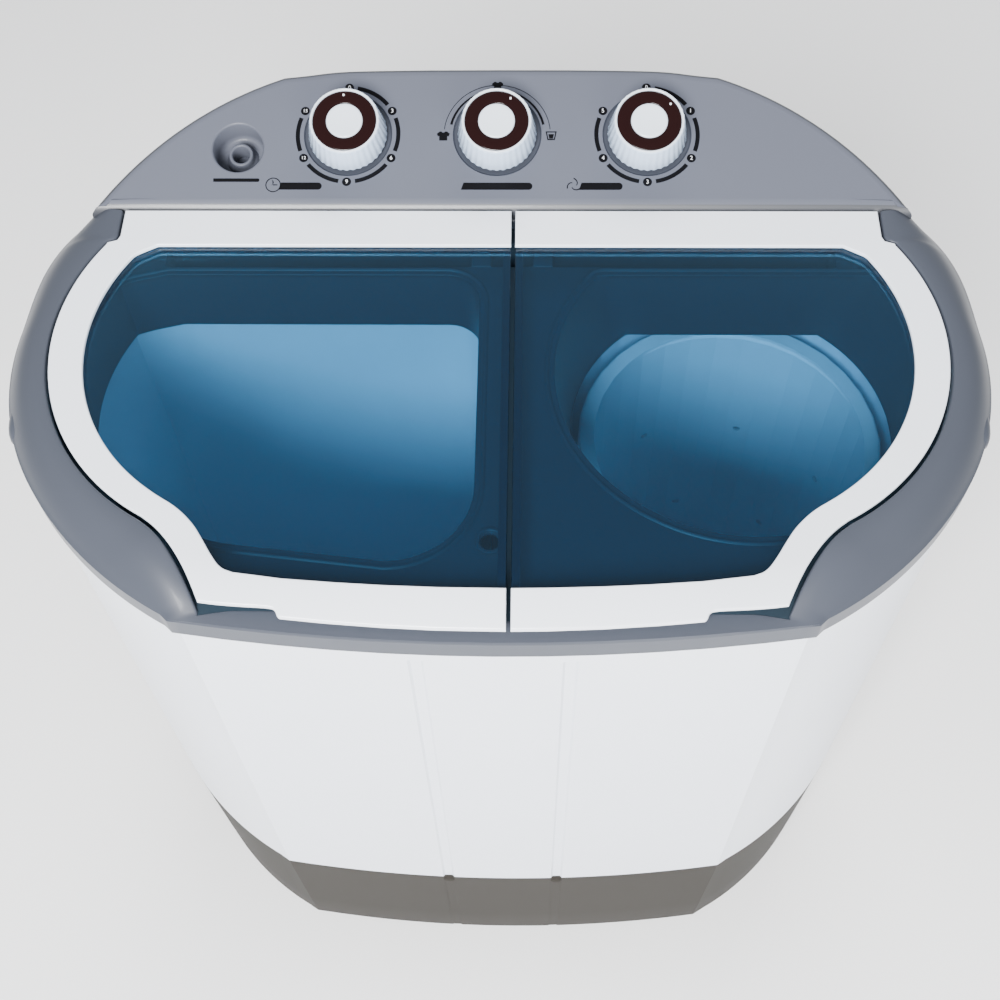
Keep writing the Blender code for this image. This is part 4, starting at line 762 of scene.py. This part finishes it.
def build_console():
    line = panel_outline()

    def ring(inset, drop):
        found = []
        for x, y in moved_out(line, -inset):
            y = max(y, CONSOLE_FRONT_Y + min(inset, 0.0020))
            found.append((x, y, panel_z(y) - drop))
        return found

    flat = ring(0.0070, 0.0)
    rings = [
        at_height(moved_out(line, -0.003), CONSOLE_LOW_Z + 0.0006), at_height(line, CONSOLE_LOW_Z),
        ring(0.0, 0.0058), ring(0.0004, 0.0042), ring(0.0012, 0.0028), ring(0.0024, 0.0016), ring(0.0038, 0.0008),
        ring(0.0054, 0.0002), flat,
    ]
    # rows below the flat top take the second slot, the painted shade on the panel's edge
    sides = skin(rings, caps=(True, False), material_of=lambda row: 1 if row < 6 else 0)
    top_line = [on_panel(x, y) for x, y, _ in flat]
    holes = [circle(*on_panel(INLET_X, INLET_Y), 0.0176, 64)]
    holes += [circle(*on_panel(x, KNOB_Y), 0.0288, 72) for x in KNOB_XS.values()]
    top = flat_fill([top_line, *holes], -0.0006, 0.0)
    bmesh.ops.transform(top, matrix=PANEL_TURN, verts=top.verts)
    shell = put(merged([sides, top]), "panel_shell", PANEL, "machine",
                ["console"], sharp=30, weighted=True)
    shell.data.materials.append(PAINTED_SHADE_PANEL_EDGE)

    wells = []
    for x in KNOB_XS.values():
        profile = [(0.0288, 0.0), (0.0284, -0.0006), (0.0279, -0.0013), (0.0272, -0.0015), (0.0032, -0.0015)]
        wells.append(place_mesh(skin(turned_rings(profile, 72)), panel_place(x, KNOB_Y), CONSOLE_TILT))
    # the recesses carry painted shade, darker than the panel round them
    put(merged(wells), "knob_recesses", PAINTED_SHADE_RECESS, "machine", sharp=60)
    profile = [(0.0176, 0.0), (0.0169, -0.0003), (0.0164, -0.0012), (0.0163, -0.0150), (0.0155, -0.0175),
               (0.0135, -0.0185), (0.0083, -0.0186)]
    well = place_mesh(skin(turned_rings(profile, 72)), panel_place(INLET_X, INLET_Y), CONSOLE_TILT)
    put(well, "inlet_well", PANEL, "machine", sharp=60)
    profile = [(0.0105, -0.0183), (0.0086, -0.0172), (0.0081, -0.0150), (0.0080, -0.0110), (0.0077, -0.0103),
               (0.0070, -0.0100), (0.0061, -0.0103), (0.0057, -0.0110), (0.0055, -0.0200), (0.0055, -0.0380),
               (0.0070, -0.0380), (0.0072, -0.0200), (0.0105, -0.0200)]
    spout = place_mesh(skin(turned_rings(profile, 48), closed_rows=True), panel_place(INLET_X, INLET_Y), CONSOLE_TILT)
    put(spout, "inlet_spout", PANEL, "machine", ["water_inlet"], sharp=60)


# ---------------------------------------------------------------- printed marks
def sector(cx, cy, low_r, high_r, start, end, end_low=None, end_high=None, steps=24):
    """Part of a ring, clockwise from the top in degrees. It can taper to other radii at its end."""
    end_low = low_r if end_low is None else end_low
    end_high = high_r if end_high is None else end_high
    outer, inner = [], []
    for i in range(steps + 1):
        t = i / steps
        a = math.radians(90 - (start + (end - start) * t))
        for line, r in ((outer, high_r + (end_high - high_r) * t), (inner, low_r + (end_low - low_r) * t)):
            line.append((cx + r * math.cos(a), cy + r * math.sin(a)))
    return [*outer, *reversed(inner)]


def bar(x0, y0, x1, y1, slant=0.0):
    """A printed label bar with a round right end and a slanted left end."""
    r = (y1 - y0) / 2
    return [(x0 + slant, y1), (x0, y0), *arc(x1 - r, (y0 + y1) / 2, r, -90, 90, 12)]


def moved(shape, x, y, size=1.0):
    return [(x + px * size, y + py * size) for px, py in shape]


SHIRT = [(-2.6, -3.0), (2.6, -3.0), (2.6, 0.2), (3.4, -0.2), (4.2, 1.6), (2.4, 3.2), (1.2, 3.2), (0.6, 2.5),
         (-0.6, 2.5), (-1.2, 3.2), (-2.4, 3.2), (-4.2, 1.6), (-3.4, -0.2), (-2.6, 0.2)]
BUCKET = [(-2.0, -2.6), (2.0, -2.6), (3.0, 2.4), (-3.0, 2.4)]
DIALS = {"wash_timer": ("0", "3", "6", "9", "12", "15"), "spin_timer": ("0", "1", "2", "3", "4", "5")}
DIAL_R = 0.0328
PRINT_T = 0.00012               # the print stands this far off the panel


def build_marks():
    ink, words = [], []
    for name, labels in DIALS.items():
        cx, cy = on_panel(KNOB_XS[name], KNOB_Y)
        for k, label in enumerate(labels):
            a = math.radians(90 - 60 * k)
            dot = (cx + DIAL_R * math.cos(a), cy + DIAL_R * math.sin(a))
            ink.append([circle(*dot, 0.0029, 28)])
            words.append((label, dot, 0.0038))
            if k < len(labels) - 1:
                ink.append([sector(cx, cy, DIAL_R - 0.0014, DIAL_R + 0.0013, 60 * k + 9.5, 60 * k + 50.5)])
        low = cy - DIAL_R - 0.0032
        ink.append([bar(cx - 0.0440, low - 0.0022, cx - 0.0160, low + 0.0026, 0.0016)])
        clock = (cx - 0.0475, low + 0.0010)
        if name == "wash_timer":
            ink.append([circle(*clock, 0.0050, 32), circle(*clock, 0.0044, 32)])
            ink.append([bar(clock[0] - 0.0003, clock[1], clock[0] + 0.0003, clock[1] + 0.0034)])
            ink.append([bar(clock[0], clock[1] - 0.0003, clock[0] + 0.0028, clock[1] + 0.0003)])
        else:
            for k in range(3):
                ink.append([sector(*clock, 0.0042, 0.0050, 120 * k, 120 * k + 95, 0.0014, 0.0020)])
    cx, cy = on_panel(KNOB_XS["selector"], KNOB_Y)
    ink.append([sector(cx, cy, 0.0343, 0.0347, -84, 84, steps=48)])
    ink.append([sector(cx, cy, 0.0299, 0.0315, -77, -9, 0.0306, 0.0314)])
    ink.append([sector(cx, cy, 0.0306, 0.0314, 9, 77, 0.0299, 0.0315)])
    ink.append([moved(SHIRT, cx - 0.0350, cy - 0.0012, 0.0010)])
    ink.append([moved(SHIRT, cx, cy + 0.0340, 0.0009)])
    ink.append([moved(BUCKET, cx + 0.0350, cy - 0.0008, size) for size in (0.0012, 0.0009)])
    ink.append([moved(BUCKET, cx + 0.0350, cy - 0.0013, 0.0006)])
    low = cy - DIAL_R - 0.0032
    ink.append([bar(cx - 0.0230, low - 0.0022, cx + 0.0230, low + 0.0026, 0.0016)])
    ink.append([bar(INLET_X - 0.0150, on_panel(0, INLET_Y)[1] - 0.0235, INLET_X + 0.0150,
                    on_panel(0, INLET_Y)[1] - 0.0212)])
    printed = merged([flat_fill(shape, PRINT_T - 0.0001, PRINT_T) for shape in ink])
    bmesh.ops.transform(printed, matrix=PANEL_TURN, verts=printed.verts)
    put(printed, "panel_print", INK, "machine", sharp=20)
    digits = []
    for label, (x, y), size in words:
        text = bpy.data.curves.new("digit", "FONT")
        text.body = label
        text.size = size if len(label) == 1 else size * 0.82
        text.align_x = "CENTER"
        text.align_y = "CENTER"
        holder = bpy.data.objects.new("digit", text)
        bpy.context.scene.collection.objects.link(holder)
        graph = bpy.context.evaluated_depsgraph_get()
        mesh = bpy.data.meshes.new_from_object(holder.evaluated_get(graph))
        bpy.data.objects.remove(holder)
        bpy.data.curves.remove(text)
        bm = bmesh.new()
        bm.from_mesh(mesh)
        bpy.data.meshes.remove(mesh)
        bmesh.ops.translate(bm, verts=bm.verts, vec=(x, y, 0.00022))
        digits.append(bm)
    whole = merged(digits)
    bmesh.ops.transform(whole, matrix=PANEL_TURN, verts=whole.verts)
    put(whole, "panel_digits", PRINT_WHITE, "machine", sharp=20)


# ---------------------------------------------------------------- knobs
RIBS = 36


def build_knob(name, x, dot_turn):
    body = f"{name}_control"
    place = panel_place(x, KNOB_Y)

    def wave(a, k):
        deep = 0.5 - 0.5 * math.cos(RIBS * a)
        share = (0.0, 0.0, 0.0, 0.3, 1.0, 1.0, 1.0, 1.0, 0.0, 0.0, 0.0)[k]
        lift = (0.0, 0.0, 0.0, 0.0, 0.0, 0.0, 0.0003, 0.0004, 0.0, 0.0, 0.0)[k]
        return -0.0003 * deep * share, lift * deep

    profile = [
        (0.0204, KNOB_H - 0.0018), (0.0206, KNOB_H - 0.0004), (0.0211, KNOB_H), (0.0220, KNOB_H - 0.0002),
        (0.0227, KNOB_H - 0.0018), (0.0240, KNOB_H * 0.53), (0.0257, 0.0016), (0.0255, 0.0008), (0.0235, 0.0010),
        (0.0200, KNOB_H - 0.0060), (0.0060, KNOB_H - 0.0055),
    ]
    skirt = place_mesh(skin(turned_rings(profile, RIBS * 12, wave), material_of=lambda row: 0 if row < 3 else 1),
                       place, CONSOLE_TILT)
    knob = put(skirt, f"{name}_skirt", KNOB, body, [f"{name}_knob"],
               sharp=70)
    knob.data.materials.append(KNOB_SIDE)
    profile = [
        (0.0206, KNOB_H - 0.0020), (0.0204, KNOB_H - 0.0009), (0.0196, KNOB_H - 0.0005), (0.0160, KNOB_H - 0.0007),
        (0.0124, KNOB_H - 0.0005), (0.0118, KNOB_H - 0.0009), (0.0117, KNOB_H - 0.0020),
    ]
    ring = place_mesh(skin(turned_rings(profile, 96)), place, CONSOLE_TILT)
    put(ring, f"{name}_gloss_ring", MAROON, body,
        [f"{name}_knob_ring"], sharp=60)
    profile = [
        (0.0117, KNOB_H - 0.0020), (0.0116, KNOB_H - 0.0006), (0.0111, KNOB_H - 0.0001), (0.0100, KNOB_H - 0.0001),
        (0.0092, KNOB_H - 0.0003), (0.0001, KNOB_H - 0.0004),
    ]
    cap = place_mesh(skin(turned_rings(profile, 96)), place, CONSOLE_TILT)
    put(cap, f"{name}_disc", KNOB, body, [f"{name}_knob_cap"], sharp=60)
    a = math.radians(90 - dot_turn)
    dot = skin(turned_rings([(0.0008, KNOB_H - 0.0007), (0.0007, KNOB_H - 0.0003), (0.0001, KNOB_H - 0.0003)], 20))
    bmesh.ops.translate(dot, verts=dot.verts, vec=(0.0176 * math.cos(a), 0.0176 * math.sin(a), 0))
    place_mesh(dot, place, CONSOLE_TILT)
    put(dot, f"{name}_dot", PRINT_WHITE, body, sharp=60)


# ---------------------------------------------------------------- lids
def bend_drop(y):
    if y >= BEND_Y:
        return 0.0
    return BEND_DROP * ((BEND_Y - y) / BEND_LENGTH) ** 2


def bend(bm):
    """Bends the front of a flat piece down: cuts it across in strips, then lowers them."""
    for step in range(15):
        everything = bm.verts[:] + bm.edges[:] + bm.faces[:]
        line = (0, BEND_Y - step * BEND_LENGTH / 14, 0)
        bmesh.ops.bisect_plane(bm, geom=everything, dist=1e-6, plane_co=line, plane_no=(0, 1, 0))
    for vert in bm.verts:
        vert.co.z -= bend_drop(vert.co.y)
    return bm


def flipped(outline, side):
    return outline if side == 1 else mirrored(outline)


def build_lid(name, side):
    middle = SEAM_X * side + 0.0013
    rebate = WINDOW_LAP + GAP
    edge = lid_edge(middle)
    top_line = flipped([*edge, *reversed(window_edge(middle))], side)
    hinge_xs = [x * side for x in HINGE_XS if x * side > 0]
    rim_line = flipped([*lid_rim_edge(middle, hinge_xs), *reversed(window_edge(middle, rebate))], side)
    top = bend(flat_fill([top_line], LID_Z - LID_T, LID_Z, 0.0009))
    rim = bend(flat_fill([rim_line], LID_Z - LID_RIM, LID_Z - LID_T + 0.0005))
    pins = []
    for x in hinge_xs:
        ends = [side * x - 0.0062, side * x + 0.0062]
        pin = [[(end, HINGE_Y + y, HINGE_Z + z) for y, z in circle(0, 0, 0.0015, 16)] for end in ends]
        pins.append(skin(pin, caps=(True, True)))
    put(merged([rim, top, *pins]), f"{name}_border", LID_WHITE, name,
        [f"{name}_frame"], sharp=40, weighted=True)
    low, high = LID_Z - LID_T - GAP - WINDOW_T, LID_Z - LID_T - GAP
    sheet = bend(flat_fill([flipped(window_edge(middle, WINDOW_LAP), side)], low, high, 0.0006))
    put(sheet, f"{name}_pane", TINT, name, [f"{name}_window"],
        sharp=30, weighted=True)
    # a dark strip under the pane along its middle edge: painted shade on the seam between the lids
    near, far = middle + 0.0004, middle + 0.0049
    band = [(near, -0.1700), (far, -0.1700), (far, 0.0780), (near, 0.0780)]
    strip = bend(flat_fill([flipped(band, side)], low - 0.0008, low - 0.0001, 0.0))
    put(strip, f"{name}_band", PAINTED_SHADE_BAND, name, sharp=30)
    # a dark strip under the pane's rear edge: painted shade where the window meets the border
    rear = flipped([(middle + 0.0004, 0.0790), (0.2150, 0.0790), (0.2150, 0.0745), (middle + 0.0004, 0.0745)][::-1],
                   side)
    rear_shade_strip = flat_fill([rear], low - 0.0008, low - 0.0001, 0.0)
    put(rear_shade_strip, f"{name}_rear_band", PAINTED_SHADE_BAND, name, sharp=30)


# ---------------------------------------------------------------- tubs
def build_wash_tub():
    top = SKIRT_LOW_Z + 0.010
    under = TUB_LOW_Z - 0.0024
    rings = []
    for z, grow in (
        (under, -0.016), (TUB_LOW_Z, -0.006), (TUB_LOW_Z + 0.014, 0.0005), (top, 0.0057), (top, 0.0032),
        (0.53, 0.0024), (0.45, 0.0010), (0.35, -0.0007), (TUB_LOW_Z + 0.014, -0.002), (TUB_LOW_Z + 0.007, -0.0040),
        (TUB_LOW_Z + 0.003, -0.007), (TUB_LOW_Z + 0.0006, -0.012), (TUB_LOW_Z, -0.018),
    ):
        rings.append(at_height(wash_outline(grow), z))
    walls = skin(rings, closed_rows=True)
    holes = [circle(*SHAFT_HOLE, 0.0150), circle(*DRAIN_HOLE, 0.0055, 32)]
    bottom = flat_fill([wash_outline(-0.0170), *holes], under, TUB_LOW_Z)
    put(merged([walls, bottom]), "wash_tub_walls", TUB, "machine",
        ["wash_tub"], sharp=40)


build_walls()
build_collar()
build_console()
build_marks()
for knob, turn in (("wash_timer", -3), ("selector", 30), ("spin_timer", 50)):
    build_knob(knob, KNOB_XS[knob], turn)
build_lid("wash_lid", -1)
build_lid("spin_lid", 1)
build_wash_tub()


# ---------------------------------------------------------------- floor, light and camera
floor_mesh = bmesh.new()
bmesh.ops.create_grid(floor_mesh, x_segments=1, y_segments=1, size=6.0)
floor = bpy.data.objects.new("floor", mesh_of(floor_mesh, "floor"))
bpy.context.scene.collection.objects.link(floor)
floor.data.materials.append(plastic("floor_look", (0.96, 0.96, 0.96), 0.8, grain=0.0, mottle=0.005))
floor.location = (0, 0, 0)

world = bpy.data.worlds.new("studio")
bpy.context.scene.world = world
world.use_nodes = True
world.node_tree.nodes["Background"].inputs["Color"].default_value = (0.93, 0.96, 1.0, 1)
world.node_tree.nodes["Background"].inputs["Strength"].default_value = 0.55


def area_light(name, place, target, size, power, colour=(1, 1, 1)):
    lamp = bpy.data.lights.new(name, "AREA")
    lamp.shape = "RECTANGLE"
    lamp.size, lamp.size_y = size
    lamp.energy = power
    lamp.color = colour
    made = bpy.data.objects.new(name, lamp)
    made.location = place
    made.rotation_euler = (Vector(target) - Vector(place)).to_track_quat("-Z", "Y").to_euler()
    bpy.context.scene.collection.objects.link(made)
    return made


area_light("key", (-0.45, -1.65, 2.0), (0, 0, 0.50), (0.9, 0.8), 150)
area_light("fill", (0.8, -1.9, 1.1), (0, 0, 0.35), (1.2, 1.0), 30)
behind = area_light("back_top", (0.3, 1.5, 1.9), (0, 0, 0.6), (1.6, 0.6), 40)
behind.visible_glossy = False

CAMERA_PLACE = (0.0195, -0.5197, LID_Z + 0.6707)
PITCH, ROLL, YAW = math.radians(58.77), math.radians(-1.61), math.radians(-2.24)
ahead = Vector((math.sin(YAW) * math.cos(PITCH), math.cos(YAW) * math.cos(PITCH), -math.sin(PITCH)))
level = Vector((math.cos(YAW), -math.sin(YAW), 0))
upward = level.cross(ahead)
side_axis = level * math.cos(ROLL) + upward * math.sin(ROLL)
up_axis = upward * math.cos(ROLL) - level * math.sin(ROLL)
camera = bpy.data.objects.new("camera", bpy.data.cameras.new("camera"))
camera.data.lens = 50.4
camera.data.sensor_width = 36
camera.data.dof.use_dof = False
turn = Matrix((side_axis, up_axis, -ahead)).transposed().to_4x4()
camera.matrix_world = Matrix.Translation(Vector(CAMERA_PLACE)) @ turn
bpy.context.scene.collection.objects.link(camera)
bpy.context.scene.camera = camera
